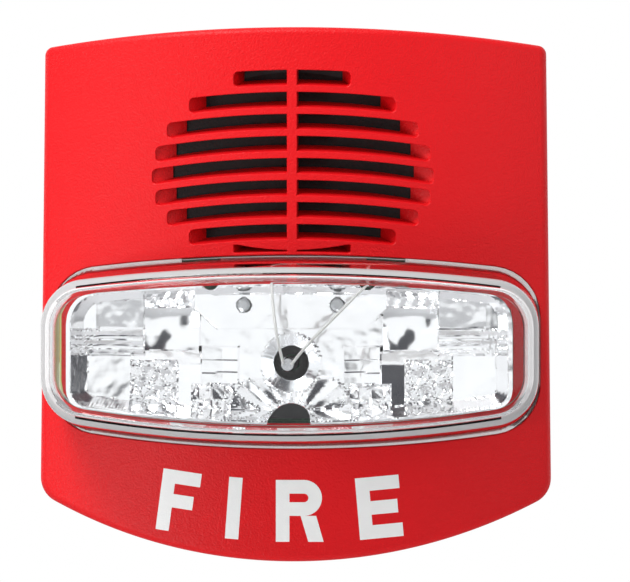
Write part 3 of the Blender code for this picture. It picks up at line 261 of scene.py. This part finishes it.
# ---------------------------------------------------------------------------------------------
# Strobe carrier. A black polycarbonate box that stands on the board and holds the reflector on
# two rivets; four staked posts beside it hold the lens.
# ---------------------------------------------------------------------------------------------
dress(finish("black_carrier", (0.016, 0.016, 0.018), (0.026, 0.026, 0.028), 0.42, 60, 2600, 0.00004),
      "strobe_carrier", "lens_post_1", "lens_post_2", "lens_post_3", "lens_post_4")
dress(finish("rivet_metal", (0.66, 0.67, 0.68), (0.54, 0.55, 0.56), 0.34, 500, 2500, 0.00001, metallic=0.9),
      "reflector_rivet_left", "reflector_rivet_right")

# ---------------------------------------------------------------------------------------------
# Reflector. One vacuum-metallised moulding: a shallow trough whose floor is broken into flat
# mirrors, stepped bands, blocks of small prisms and a fan of ribs, so that the flash spreads
# wide. The tube comes through a hole in its middle.
# ---------------------------------------------------------------------------------------------
dish_low, dish_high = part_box("reflector")
dish_half = (dish_high.x - dish_low.x) / 2
dish_top, dish_bottom = dish_high.z, dish_low.z
dish_rim, dish_back = -dish_low.y, -dish_high.y
dish_sizes = (dish_top, dish_bottom, dish_half, dish_half, 2.2 * MM, 4.2 * MM, 9 * MM, 5.5 * MM)
tube_low, tube_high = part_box("flash_tube")
tube_z = (tube_low.z + tube_high.z) / 2


def sag(x, half, rise):
    """How far an arc that drops by rise at x = half has dropped at x."""
    radius = (half * half + rise * rise) / (2 * rise)
    return radius - np.sqrt(radius * radius - np.asarray(x) ** 2)


def upper_edge(half, middle, rise, corner, foot, steps, turns):
    """Right half of an upper edge, (x, z): an arc out from the middle, then a round corner to foot.

    The corner is a quadratic curve weighted by the sine of half its angle, which is a true arc.
    """
    lean = np.arcsin(half / ((half * half + rise * rise) / (2 * rise)))
    tip = np.array([half, middle - rise])
    down = (np.array(foot) - tip) / np.linalg.norm(np.array(foot) - tip)
    angle = np.arccos(down @ np.array([-np.cos(lean), np.sin(lean)]))
    reach = corner / np.tan(angle / 2)
    x = np.linspace(0, half - reach * np.cos(lean), steps + 1)
    arc = np.stack([x, middle - sag(x, half, rise)], 1)
    t = np.linspace(0, 1, turns + 1)[1:, None]
    near, mid, far = (1 - t) ** 2, 2 * t * (1 - t) * np.sin(angle / 2), t ** 2
    bend = (arc[-1] * near + tip * mid + (tip + down * reach) * far) / (near + mid + far)
    return np.vstack([arc, bend])


def outline(top, bottom, top_half, bottom_half, top_rise, bottom_rise, top_corner, bottom_corner,
            steps=24, turns=8):
    """A closed outline (x, z): its top from left to right, then its bottom from right to left."""
    upper = upper_edge(top_half, top, top_rise, top_corner, (bottom_half, bottom + bottom_rise), steps, turns)
    lower = upper_edge(bottom_half, -bottom, bottom_rise, bottom_corner,
                       (top_half, top_rise - top), steps, turns) * (1, -1)
    mirror = np.array([-1, 1])
    return np.vstack([upper[:0:-1] * mirror, upper, lower[::-1], lower[1:] * mirror])


def inset(sizes, gap):
    """An outline's sizes drawn in by gap on every side, in the order that outline takes them."""
    top, bottom, top_half, bottom_half, top_rise, bottom_rise, top_corner, bottom_corner = sizes
    return (top - gap, bottom + gap, top_half - gap, bottom_half - gap, top_rise, bottom_rise,
            max(top_corner - gap, 0.4 * MM), max(bottom_corner - gap, 0.4 * MM))


def add_piece(name, points, faces, material, sharp=30):
    """A mesh object at the origin from an array of points and an array or a list of faces."""
    mesh = bpy.data.meshes.new(name)
    mesh.from_pydata(np.asarray(points).tolist(), [], [list(face) for face in faces])
    mesh.shade_smooth()
    mesh.set_sharp_from_angle(angle=np.radians(sharp))
    mesh.materials.append(material)
    obj = bpy.data.objects.new(name, mesh)
    bpy.context.collection.objects.link(obj)
    return obj


def outwards(obj):
    """Turn every face of a closed mesh to point out."""
    bm = bmesh.new()
    bm.from_mesh(obj.data)
    bmesh.ops.recalc_face_normals(bm, faces=bm.faces)
    bm.to_mesh(obj.data)
    bm.free()


def cut(target, *cutters):
    """Cut solids out of a piece, keep the result as its mesh and remove the cutters."""
    for cutter in cutters:
        outwards(cutter)
        step = target.modifiers.new(cutter.name, "BOOLEAN")
        step.operation, step.solver, step.object = "DIFFERENCE", "EXACT", cutter
    whole = bpy.data.meshes.new_from_object(target.evaluated_get(bpy.context.evaluated_depsgraph_get()))
    target.modifiers.clear()
    target.data = whole
    for cutter in cutters:
        bpy.data.objects.remove(cutter)


def grid_faces(rows, columns, start=0, wrap=False):
    """Quads of a grid of points stored row by row, which may close on itself across the columns."""
    index = start + np.arange(rows * columns).reshape(rows, columns)
    if wrap:
        index = np.hstack([index, index[:, :1]])
    quads = [index[:-1, :-1], index[:-1, 1:], index[1:, 1:], index[1:, :-1]]
    return np.stack([q.ravel() for q in quads], 1)


def rod(name, x, z, radius, near, far, steps=48):
    """A round bar across the depth, from depth near to depth far, as a cutter."""
    angle = np.linspace(0, 2 * np.pi, steps, endpoint=False)
    ends = [np.stack([x + radius * np.cos(angle), np.full(steps, -depth), z + radius * np.sin(angle)], 1)
            for depth in (near, far)]
    faces = [*grid_faces(2, steps, wrap=True), np.arange(steps), np.arange(steps, 2 * steps)]
    return add_piece(name, np.vstack(ends), faces, None)


def dish_depth(x, z, edge):
    """Depth of the mirrors at (x, z), edge being the distance in from the rim, all in millimetres.

    The rim drops by a steep wall to a floor. Panels, each a plane, a shallow bowl, a stack of
    steps, a field of pyramids or a fan of ribs, are chosen by where they lie. All are the same
    on both sides of the middle.
    """
    a = np.abs(x)
    middle = z - tube_z / MM
    floor = 38.0 + 0.0 * x
    rim, lip, lowest, wall_slope = 52.1, 1.1, 36.2, 5.0
    notch_z = -31.6

    def tri(value, pitch):
        """A triangle wave from 0 to 1."""
        return np.abs(2 * (value / pitch - np.floor(value / pitch)) - 1)

    corner_panel = 42.0 + 0.20 * (a - 46) + 0.10 * (z + 4)
    pink_panel = 40.6 + 0.14 * (z + 4) - 0.05 * (a - 40)
    outer_bands = 40.0 + 0.9 * np.floor((z + 14.5) / 2.2) + 0.5 * tri(z, 2.2) + 0.04 * (a - 44)
    pillow = 38.8 + 0.030 * (a - 29) ** 2 + 0.022 * (z + 8.5) ** 2
    shelf = 39.6 - 0.35 * (z + 15)
    centre_panel = 42.3 + 0.10 * (z + 2.6) + 0.002 * x * x
    white_panel = 39.2 + 0.05 * (a - 45) - 0.16 * (z + 20)
    inner_white = 39.0 - 0.12 * (a - 24) - 0.16 * (z + 20)
    prisms = 38.2 + 2.6 * np.minimum(tri(a + 0.4 * z, 4.6), tri(z - 0.2 * a + 1, 4.2))
    diamonds = 38.6 + 2.2 * np.minimum(tri(a + z, 6.4), tri(a - z, 6.4))
    boxes = 39.0 + 0.30 * np.abs(a - 16.5) - 0.10 * (z + 17) + 0.7 * np.floor((z + 22) / 3.1)
    streaks = 38.6 + 0.75 * tri(a - 0.45 * z, 3.0) + 0.12 * (z + 12)
    angle = np.arctan2(z - notch_z, x)
    radius = np.hypot(x, z - notch_z)
    fan = 37.2 + 0.20 * radius + 0.8 * tri(angle, 0.35)
    well = 37.2 + 0.5 * np.hypot(x, middle)

    panels = [
        (np.hypot(x, middle) < 7.2, well),
        ((radius < 15.5) & (z < -20.5), fan),
        ((a < 23.2 - 1.1 * np.maximum(0, -z - 3.5)) & (z > -8.2), centre_panel),
        ((a < 21.5) & (a > 12.5) & (z < -12.5) & (z > -21.7), boxes),
        ((a < 24) & (a > 14) & (z <= -21.7), diamonds),
        ((a >= 22) & (a < 35.3) & (z < -3.2) & (z > -13.6), pillow),
        ((a >= 35.3) & (a < 46.5) & (z < -0.8) & (z > -8.4), pink_panel),
        ((a >= 46.5) & (z > -8.4), corner_panel),
        ((a >= 35.3) & (z <= -8.4) & (z > -14.6), outer_bands),
        ((a > 27.5) & (a < 38.8) & (z < -16) & (z > -27.4), prisms),
        ((a >= 38.8) & (z <= -14.6), white_panel),
        ((a > 20.5) & (a <= 27.5) & (z < -16.8), inner_white),
        ((z <= -13.6) & (z > -16.8) & (a > 20), shelf),
        (z > -3.2, streaks),
    ]
    for chosen, panel in reversed(panels):
        floor = np.where(chosen, panel, floor)
    floor = np.maximum(floor, lowest)
    wall = rim - np.clip(edge - lip, 0, None) * wall_slope
    return np.where(edge < lip, rim, np.minimum(floor, rim) + np.clip(wall - floor, 0, None))


def reflector():
    """Front and back skins over one grid, which follows the rim, joined round the edge."""
    across, down = 300, 96
    around = outline(*dish_sizes, 60, 24)
    half = len(around) // 2
    x = dish_half * np.sin(np.linspace(-np.pi / 2, np.pi / 2, across)) * 0.35 \
        + dish_half * np.linspace(-1, 1, across) * 0.65
    high = np.interp(x, around[:half, 0], around[:half, 1])
    low = np.interp(x, around[half:, 0][::-1], around[half:, 1][::-1])
    v = np.linspace(0, 1, down)[:, None]
    z = high + (low - high) * v
    x = np.broadcast_to(x, z.shape)
    gap = np.sqrt(((x[..., None] - around[:, 0]) ** 2 + (z[..., None] - around[:, 1]) ** 2).min(-1))
    gap = np.minimum(gap, dish_half - np.abs(x))
    front = dish_depth(x / MM, z / MM, gap / MM) * MM
    back = np.minimum(dish_back + 0.2 * MM + np.clip(6 * MM - gap, 0, None) * 2.6, front - 1.1 * MM)
    n = across * down
    points = np.vstack([np.stack([x, -depth, z], -1).reshape(-1, 3) for depth in (front, back)])
    index = np.arange(n).reshape(down, across)
    ring = np.concatenate([index[0], index[1:, -1], index[-1, -2::-1], index[-2:0:-1, 0]])
    following = np.roll(ring, -1)
    sides = np.stack([ring, following, following + n, ring + n], 1)
    faces = np.vstack([grid_faces(down, across), grid_faces(down, across, n)[:, ::-1], sides])
    piece = add_piece("mirror_reflector", points, faces, mirror_finish(), sharp=9)
    outwards(piece)
    radius = 4.2 * MM
    holes = [(0, tube_z, radius), (0, dish_bottom, 5.2 * MM)]
    holes += [(side * 18.6 * MM, dish_top, 1.9 * MM) for side in (-1, 1)]
    holes += [(side * 11.2 * MM, dish_top - 5.8 * MM, 1.8 * MM) for side in (-1, 1)]
    cut(piece, *[rod(f"hole_{k}", x, z, r, dish_back - 3 * MM, dish_rim + 5 * MM)
                 for k, (x, z, r) in enumerate(holes)])
    return piece


def mirror_finish():
    """Vacuum-deposited aluminium: bright and neutral, with a faint ripple from the moulding."""
    material = finish("mirror_finish", (0.97, 0.96, 0.96), (0.90, 0.90, 0.91), 0.10, 70, metallic=1.0,
                      rough_by=0.04)
    nodes, links = material.node_tree.nodes, material.node_tree.links
    ripple = nodes.new("ShaderNodeTexNoise")
    ripple.inputs["Scale"].default_value = 260
    ripple.inputs["Detail"].default_value = 1
    place = next(node for node in nodes if node.type == "TEX_COORD")
    links.new(place.outputs["Object"], ripple.inputs["Vector"])
    bump = nodes.new("ShaderNodeBump")
    bump.inputs["Distance"].default_value = 0.00012
    bump.inputs["Strength"].default_value = 1.0
    links.new(ripple.outputs["Fac"], bump.inputs["Height"])
    links.new(bump.outputs["Normal"], nodes["Principled BSDF"].inputs["Normal"])
    return material


mirror = reflector()
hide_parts("reflector")
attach(mirror, "base")

# ---------------------------------------------------------------------------------------------
# Flash tube. Borosilicate glass with xenon inside, a nickel cap on each end, held through the
# reflector by a black rubber grommet, with two thin silicone-sleeved leads to its front end.
# ---------------------------------------------------------------------------------------------


def clear(name, tint, roughness, ior):
    """Clear glass or plastic with a very slight unevenness in its gloss."""
    material = finish(name, tint, tint, roughness, 30, 400, 0.0, rough_by=0.01)
    shader = material.node_tree.nodes["Principled BSDF"]
    shader.inputs["Transmission Weight"].default_value = 1.0
    shader.inputs["Specular Tint"].default_value = (0.25, 0.25, 0.25, 1)
    shader.inputs["IOR"].default_value = ior
    return material


dress(clear("tube_glass", (0.96, 0.97, 0.98), 0.03, 1.47), "flash_tube")
dress(finish("tube_nickel", (0.62, 0.62, 0.63), (0.52, 0.52, 0.54), 0.28, 400, 1800, 0.00001, metallic=1.0),
      "tube_front_cap", "tube_rear_cap")
dress(finish("black_rubber", (0.010, 0.010, 0.010), (0.018, 0.018, 0.018), 0.70, 200, 3000, 0.00003),
      "tube_grommet")
dress(finish("white_sleeve", (0.86, 0.85, 0.83), (0.80, 0.79, 0.77), 0.42, 150, 3000, 0.00001),
      "trigger_lead", "anode_lead")

# ---------------------------------------------------------------------------------------------
# Lens. A clear polycarbonate bowl with a curved front and a drafted skirt. Its flange sits behind
# the cover on a grey foam gasket and is staked to four posts.
# ---------------------------------------------------------------------------------------------
cover_low, cover_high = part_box("front_cover")
cover_half = (cover_high.x - cover_low.x) / 2
face_depth, side_depth = -cover_low.y, 20 * MM
lens_low, lens_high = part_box("lens")
grille_half = 34.4 * MM
lens_taper = (4.1 * MM, 4.8 * MM)
flange_seat, flange_thickness, flange_reach = 3.7 * MM, 1.8 * MM, 3.5 * MM


def face(x):
    """Depth of the cover's front: an upright cylinder, deepest in the middle."""
    return face_depth - sag(x, cover_half, face_depth - side_depth)


def skin(rows, capped, cap_steps=10):
    """Points and faces that join equal outlines in turn.

    rows is a list of (outline, offset): each outline lies at the cover's face plus its offset, or
    at a fixed depth when the offset is given as a plain depth in a one-item tuple. Capped ends are
    grids that run from the top of the outline to its bottom, point to point, on the same surface.
    """
    count = len(rows[0][0])

    def lift(flat, offset):
        """Points (x, z) of an outline, put at its depth."""
        depth = np.full(len(flat), offset[0]) if isinstance(offset, tuple) else face(flat[:, 0]) + offset
        return np.stack([flat[:, 0], -depth, flat[:, 1]], 1)

    points = [lift(*row) for row in rows]
    ring = np.arange(count)
    faces = []
    pairs = [(k, k + 1) for k in range(len(rows) - 1)] + ([] if capped else [(len(rows) - 1, 0)])
    for a, b in pairs:
        near, far = a * count + ring, b * count + ring
        faces.append(np.stack([near, np.roll(near, -1), np.roll(far, -1), far], 1))
    if capped:
        for k in (0, len(rows) - 1):
            flat, offset = rows[k]
            top, bottom = flat[:count // 2], flat[count // 2:][::-1]
            s = np.linspace(0, 1, cap_steps + 1)[1:-1, None, None]
            inner = (top * (1 - s) + bottom * s).reshape(-1, 2)
            start = sum(len(p) for p in points)
            points.append(lift(inner, offset))
            index = np.vstack([(k * count + ring[:count // 2])[None],
                               start + np.arange(len(inner)).reshape(-1, count // 2),
                               (k * count + ring[count // 2:][::-1])[None]])
            quads = [index[:-1, :-1], index[:-1, 1:], index[1:, 1:], index[1:, :-1]]
            faces.append(np.stack([q.ravel() for q in quads], 1))
            for side in (0, -1):
                column = index[:, side]
                faces.append([list(column)])
    return np.vstack(points), [face for group in faces for face in group]


def lens():
    """The bowl: an outer skin with a round front edge, a flange notched for the grille, an inner skin.

    The front edge is satin, and the flange's faces behind the cover are misty, with a painted glow that
    stands in for the light that the glass keeps from them.
    """
    wall, front, radius = 2.0 * MM, 32 * MM, 3.0 * MM
    base_half, base_corner, edge_steps, satin_slope = 60.29 * MM, 12.5 * MM, 8, 0.82
    draft_height, draft_side = 2.8 * MM, 1 * MM
    base = (lens_high.z - flange_reach, lens_low.z + flange_reach, base_half, base_half, *lens_taper,
            base_corner, base_corner)
    nose = (base[0] - draft_height, base[1] + draft_height, base_half - draft_side, base_half - draft_side,
            *lens_taper, base_corner - draft_side, base_corner - draft_side)
    flange = (base[0] + flange_reach, base[1] - flange_reach, 60.9 * MM, 60.9 * MM, *lens_taper,
              base_corner, base_corner)
    steps = dict(steps=40, turns=14)
    rows = []
    for turn in np.radians(np.linspace(90, 0, edge_steps + 1)):
        rows.append((outline(*inset(nose, radius * (1 - np.cos(turn))), **steps),
                     front - radius * (1 - np.sin(turn))))
    seat, back = -flange_seat, -flange_seat - flange_thickness
    rows += [(outline(*base, **steps), 0.4 * MM), (outline(*base, **steps), seat),
             (outline(*flange, **steps), seat), (outline(*flange, **steps), back),
             (outline(*inset(base, wall), **steps), back),
             (outline(*inset(base, wall), **steps), 0.4 * MM)]
    inner = inset(nose, wall)
    bend = radius - wall / 2
    for turn in np.radians(np.linspace(0, 90, 7)):
        rows.append((outline(*inset(inner, bend * (1 - np.cos(turn))), **steps),
                     front - wall - bend * (1 - np.sin(turn))))
    points, faces = skin(rows, True, 16)
    clear_plastic = clear("clear_polycarbonate", (0.97, 0.985, 0.99), 0.03, 1.585)
    piece = add_piece("clear_lens", points, faces, clear_plastic)
    outwards(piece)
    painted_glow_mist = finish("misty_polycarbonate_painted_glow", (0.74, 0.73, 0.73), (0.62, 0.61, 0.61), 0.35, 60, 900, 0.00003)
    # Painted glow: the misty faces give off light of their own, in place of the light that does not reach
    # them through the glass.
    painted_glow_mist.node_tree.nodes["Principled BSDF"].inputs["Emission Color"].default_value = (0.66, 0.63, 0.63, 1)
    painted_glow_mist.node_tree.nodes["Principled BSDF"].inputs["Emission Strength"].default_value = 0.6
    piece.data.materials.append(painted_glow_mist)
    edge_glow = clear("satin_lens_edge", (0.90, 0.89, 0.89), 0.12, 1.585)
    edge_glow.node_tree.nodes["Principled BSDF"].inputs["Transmission Weight"].default_value = 0.5
    piece.data.materials.append(edge_glow)
    for polygon in piece.data.polygons:
        corners = [piece.data.vertices[k].co for k in polygon.vertices]
        if max(-co.y - face(co.x) for co in corners) < -3 * MM:
            polygon.material_index = 1
        elif abs(polygon.normal.y) < satin_slope and polygon.index < edge_steps * len(rows[0][0]):
            polygon.material_index = 2
    notch_half, notch_gap, above = 0.8 * grille_half, 0.175 * MM, flange[0] + 1 * MM
    x = np.linspace(-notch_half, notch_half, 33)
    low = base[0] - sag(x, base_half, lens_taper[0]) + notch_gap
    edge = np.vstack([np.stack([x, low], 1), [[notch_half, above], [-notch_half, above]]])
    ends = [np.stack([edge[:, 0], np.full(len(edge), -depth), edge[:, 1]], 1) for depth in (10 * MM, 80 * MM)]
    index = np.arange(len(edge))
    sides = [*grid_faces(2, len(edge), wrap=True), index, index + len(edge)]
    cut(piece, add_piece("flange_notch", np.vstack(ends), sides, painted_glow_mist))
    return piece


bowl = lens()
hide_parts("lens")
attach(bowl, "base")
dress(finish("grey_foam", (0.42, 0.42, 0.42), (0.52, 0.52, 0.51), 0.90, 400, 2600, 0.0001), "lens_gasket")

# ---------------------------------------------------------------------------------------------
# Candela selector. A white acetal slide that sets the flash strength, with a yellow-green printed
# label that shows through the left end of the lens. The label has a painted glow of its own.
# ---------------------------------------------------------------------------------------------
dress(finish("white_acetal", (0.76, 0.76, 0.73), (0.70, 0.70, 0.67), 0.38, 120, 2600, 0.00001),
      "candela_slider")
painted_glow_label_ink = finish("label_print_painted_glow", (0.62, 0.80, 0.08), (0.70, 0.86, 0.14), 0.40, 60, 900, 0.00001)
# Painted glow: the printed label gives off light of its own, though it is no lamp.
painted_glow_label_ink.node_tree.nodes["Principled BSDF"].inputs["Emission Color"].default_value = (0.60, 0.80, 0.06, 1)
painted_glow_label_ink.node_tree.nodes["Principled BSDF"].inputs["Emission Strength"].default_value = 1.8
dress(painted_glow_label_ink, "candela_label")

# ---------------------------------------------------------------------------------------------
# Front cover. One red moulding with a satin spark-eroded face. A thicker oval behind its grille
# carries nine rows of arched louvre blades, tied by a centre bar.
# ---------------------------------------------------------------------------------------------
cover_sizes = (cover_high.z, cover_low.z, cover_half - 1.25 * MM, cover_half, 3.8 * MM, 15.6 * MM,
               2.2 * MM, 6.5 * MM)
slot_rows, slot_pitch, slot_height = 9, 5.355 * MM, 3.6 * MM
bar_half, arch_radius, slot_round_end = 1.25 * MM, 230 * MM, 1.2 * MM
grille_half_height = (slot_rows - 1) / 2 * slot_pitch + slot_height / 2
grille_z = cover_high.z - 10.57 * MM - grille_half_height
louvre_slope = np.tan(np.radians(13.5))
grille_back = 28.1 * MM
slot_depth, slot_floor = 13 * MM, lens_high.z - flange_reach + 1.15 * MM


def red_plastic():
    """Red moulded plastic: a fine satin grain over a slow drift of colour between two reds, at random."""
    material = finish("red_plastic", (0.74, 0.004, 0.008), (0.64, 0.003, 0.006), 0.42, 22, 2100, 0.00016,
                      rough_by=0.10)
    material.node_tree.nodes["Principled BSDF"].inputs["Specular IOR Level"].default_value = 0.22
    return material


def slot_cutter(name, middle, side):
    """A louvre slot on one side of the bar: arched, sloping down to the front, with a flared lip.

    Its edges drop by x squared over twice the arch radius and draw together in a round end. Each
    ring lies at an offset from the cover's face and is wider than the slot by its own flare. Over
    the last sixth of its length the slot is a pocket that gets shallower towards its end. The
    lowest row is a sliver whose upper edge bows the other way.
    """
    across = (middle - grille_z) / (grille_half_height + 0.3 * MM)
    end = grille_half * np.sqrt(1 - across * across)
    through = 0.835 * end
    top, bottom = middle + slot_height / 2, max(middle - slot_height / 2, slot_floor)
    rings = []
    for offset, flare in ((-slot_depth, 0), (-0.30 * MM, 0), (-0.13 * MM, 0.05 * MM), (-0.03 * MM, 0.15 * MM),
                          (0.6 * MM, 0.78 * MM)):
        open_part = np.linspace(bar_half - flare, through, 14)
        pocket_part = np.linspace(through + 0.02 * MM, end - slot_round_end, 6)
        round_part = end - slot_round_end * (1 - np.sin(np.linspace(0.2, np.pi / 2, 7)))
        x = np.concatenate([open_part, pocket_part, round_part])
        x = np.where(x > through, x + flare * (x - through) / (end - through), x)
        arch = x * x / (2 * arch_radius)
        gone = np.clip((x - flare - end + slot_round_end) / slot_round_end, 0, 1)
        narrow = slot_round_end * (1 - np.sqrt(1 - gone * gone)) * min(1, (top - bottom) / slot_height)
        deep = np.full(len(x), offset)
        if offset == -slot_depth:
            pocket = 1.0 * MM + (face(x) - grille_back - 0.4 * MM) * (end - x) / (end - through)
            deep = np.where(x > through, -pocket, offset)
        upper = top - arch
        if middle <= slot_floor + slot_height:
            upper = slot_floor + 0.35 * MM + 1.5 * MM * (x / end) ** 2
        edges = []
        for z, way in ((upper, 1), (bottom - arch, -1)):
            height = z + way * (flare - narrow) - deep * louvre_slope
            edge = np.stack([side * x, -(face(x) + deep), height], 1)
            edges.append(edge if way == 1 else edge[::-1])
        rings.append(np.vstack(edges))
    steps = len(x)
    count = 2 * steps
    last = (len(rings) - 1) * count
    strip = np.arange(steps - 1)
    cap = np.stack([strip, strip + 1, count - 2 - strip, count - 1 - strip], 1)
    caps = [start + cap for start in (0, last)]
    faces = np.vstack([grid_faces(len(rings), count, wrap=True), *caps])
    return add_piece(name, np.vstack(rings), faces, None)


def front_cover():
    """The shell, joined with its thicker grille oval, then cut by the slots and the lens window."""
    steps = dict(steps=44, turns=8)
    edge, wall = 1.6 * MM, 2.2 * MM
    rows = []
    for turn in np.radians(np.linspace(90, 0, 9)):
        rows.append((outline(*inset(cover_sizes, edge * (1 - np.cos(turn))), **steps),
                     -edge * (1 - np.sin(turn))))
    inside = outline(*inset(cover_sizes, wall), **steps)
    open_back = (0.5 * MM,)
    rows += [(outline(*cover_sizes, **steps), open_back), (inside, open_back), (inside, -wall)]
    points, faces = skin(rows, True, 14)
    shell = add_piece("red_front_cover", points, faces, red_plastic())
    outwards(shell)
    half, tall = grille_half + 1.5 * MM, grille_half_height + 1.8 * MM
    angle = np.linspace(np.pi, -np.pi, 96, endpoint=False) - np.pi / 96
    oval = np.stack([half * np.cos(angle), grille_z + tall * np.sin(angle)], 1)
    points, faces = skin([(oval, (grille_back,)), (oval, -wall / 2)], True, 2)
    body = add_piece("grille_body", points, faces, None)
    outwards(body)
    join = shell.modifiers.new("join", "BOOLEAN")
    join.operation, join.solver, join.object = "UNION", "EXACT", body
    cutters = []
    for row in range(slot_rows):
        middle = grille_z + (row - (slot_rows - 1) / 2) * slot_pitch
        for side in (-1, 1):
            cutters.append(slot_cutter(f"slot_{row}_{side}", middle, side))
    clearance, window_half, window_corner = 0.35 * MM, 60.64 * MM, 12.5 * MM
    window = (lens_high.z - flange_reach + clearance, lens_low.z + flange_reach - clearance, window_half,
              window_half, *lens_taper, window_corner, window_corner)
    flares = ((-10.5 * MM, 0), (-0.4 * MM, 0), (-0.15 * MM, 0.08 * MM), (-0.03 * MM, 0.2 * MM),
              (1 * MM, 1.2 * MM))
    rows = [(outline(*inset(window, -flare), **steps), offset) for offset, flare in flares]
    points, faces = skin(rows, True, 4)
    cutters.append(add_piece("lens_window", points, faces, None))
    cut(shell, *cutters)
    bpy.data.objects.remove(body)
    shell.data.shade_smooth()
    shell.data.set_sharp_from_angle(angle=np.radians(24))
    weigh = shell.modifiers.new("weigh", "WEIGHTED_NORMAL")
    weigh.keep_sharp = True
    return shell


cover = front_cover()
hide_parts("front_cover")
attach(cover, "cover")
dress(cover.data.materials[0], "lens_bezel")
dress(finish("screen_cloth", (0.008, 0.008, 0.008), (0.016, 0.016, 0.016), 0.80, 800, 1600, 0.0002),
      "acoustic_screen")

# ---------------------------------------------------------------------------------------------
# Legend. The plain block word FIRE, pad printed in white below the lens, each letter standing on
# a shallow arc that sags like the cover's lower edge.
# ---------------------------------------------------------------------------------------------
cap_height, stroke, ink = 15.0 * MM, 3.3 * MM, 0.06 * MM
legend_radius, legend_x, legend_z = 222 * MM, 2.0 * MM, -52.6 * MM


def straight(x0, z0, x1, z1, x2, z2, x3, z3, steps=10):
    """A stroke between two edges, from (x0, z0) to (x1, z1) and from (x2, z2) to (x3, z3)."""
    t = np.linspace(0, 1, steps)[:, None]
    return (np.array([x0, z0]) * (1 - t) + np.array([x1, z1]) * t,
            np.array([x2, z2]) * (1 - t) + np.array([x3, z3]) * t)


def bar(x0, z0, x1, z1):
    """A rectangular stroke."""
    return straight(x0, z1, x1, z1, x0, z0, x1, z0)


def bowl_stroke(x0, high, low, wide):
    """The round part of an R: out along the top, half a turn, and back, stroke wide."""
    outer = (high - low) / 2
    centre = (high + low) / 2
    turn = np.linspace(np.pi / 2, -np.pi / 2, 24)
    edges = []
    for radius in (outer, outer - stroke):
        arc = np.stack([x0 + wide - outer + radius * np.cos(turn), centre + radius * np.sin(turn)], 1)
        edges.append(np.vstack([[x0, centre + radius], arc, [x0, centre - radius]]))
    return tuple(edges)


def letter(strokes, x):
    """A letter's strokes, mapped onto the arc and the cover's face as thin closed strips."""
    turn = (x - legend_x) / legend_radius
    points, faces, start = [], [], 0
    for left, right in strokes:
        grid = np.stack([left * (1 - s) + right * s for s in np.linspace(0, 1, 6)], 0)
        flat = grid.reshape(-1, 2)
        across, up = flat[:, 0], flat[:, 1]
        px = legend_x + legend_radius * np.sin(turn) + across * np.cos(turn) - up * np.sin(turn)
        pz = legend_z + legend_radius * (1 - np.cos(turn)) + across * np.sin(turn) + up * np.cos(turn)
        rows, columns = grid.shape[:2]
        n = rows * columns
        for offset in (ink, -0.1 * MM):
            points.append(np.stack([px, -(face(px) + offset), pz], 1))
        index = start + np.arange(n).reshape(rows, columns)
        ring = np.concatenate([index[0], index[1:, -1], index[-1, -2::-1], index[-2:0:-1, 0]])
        following = np.roll(ring, -1)
        faces += [grid_faces(rows, columns, start), grid_faces(rows, columns, start + n)[:, ::-1],
                  np.stack([ring, following, following + n, ring + n], 1)]
        start += 2 * n
    return np.vstack(points), np.vstack(faces)


high = cap_height / 2
wide_e, wide_f, wide_r = 10.6 * MM, 9.6 * MM, 11.6 * MM
stem_e, stem_f, stem_r = -wide_e / 2, -wide_f / 2, -wide_r / 2
letters = {
    "F": (-27.9 * MM, [bar(stem_f, -high, stem_f + stroke, high),
                       bar(stem_f + stroke, high - stroke, wide_f / 2, high),
                       bar(stem_f + stroke, -stroke / 2, wide_f / 2 - 1.2 * MM, stroke / 2)]),
    "I": (-14.2 * MM, [bar(-stroke / 2, -high, stroke / 2, high)]),
    "R": (1.9 * MM, [bar(stem_r, -high, stem_r + stroke, high),
                     bowl_stroke(stem_r + stroke, high, -1.2 * MM, wide_r - stroke - 0.4 * MM),
                     straight(0.2 * MM, -1.2 * MM, wide_r / 2 - stroke - 0.4 * MM, -high,
                              0.2 * MM + stroke * 1.15, -1.2 * MM, wide_r / 2, -high)]),
    "E": (21.2 * MM, [bar(stem_e, -high, stem_e + stroke, high)]
          + [bar(stem_e + stroke, z - stroke / 2, wide_e / 2 - short, z + stroke / 2)
             for z, short in ((high - stroke / 2, 0), (0, 0.8 * MM), (-high + stroke / 2, 0))]),
}
white_ink = finish("white_ink", (0.90, 0.90, 0.88), (0.84, 0.84, 0.83), 0.42, 300, 2300, 0.00003)
for name, (x, strokes) in letters.items():
    points, faces = letter(strokes, x)
    piece = add_piece(f"legend_{name}", points, faces, white_ink)
    outwards(piece)
    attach(piece, "cover")

# ---------------------------------------------------------------------------------------------
# Cover latch. A sprung tongue of the housing's black plastic that holds the cover's top edge.
# ---------------------------------------------------------------------------------------------
dress(black_abs, "cover_latch")
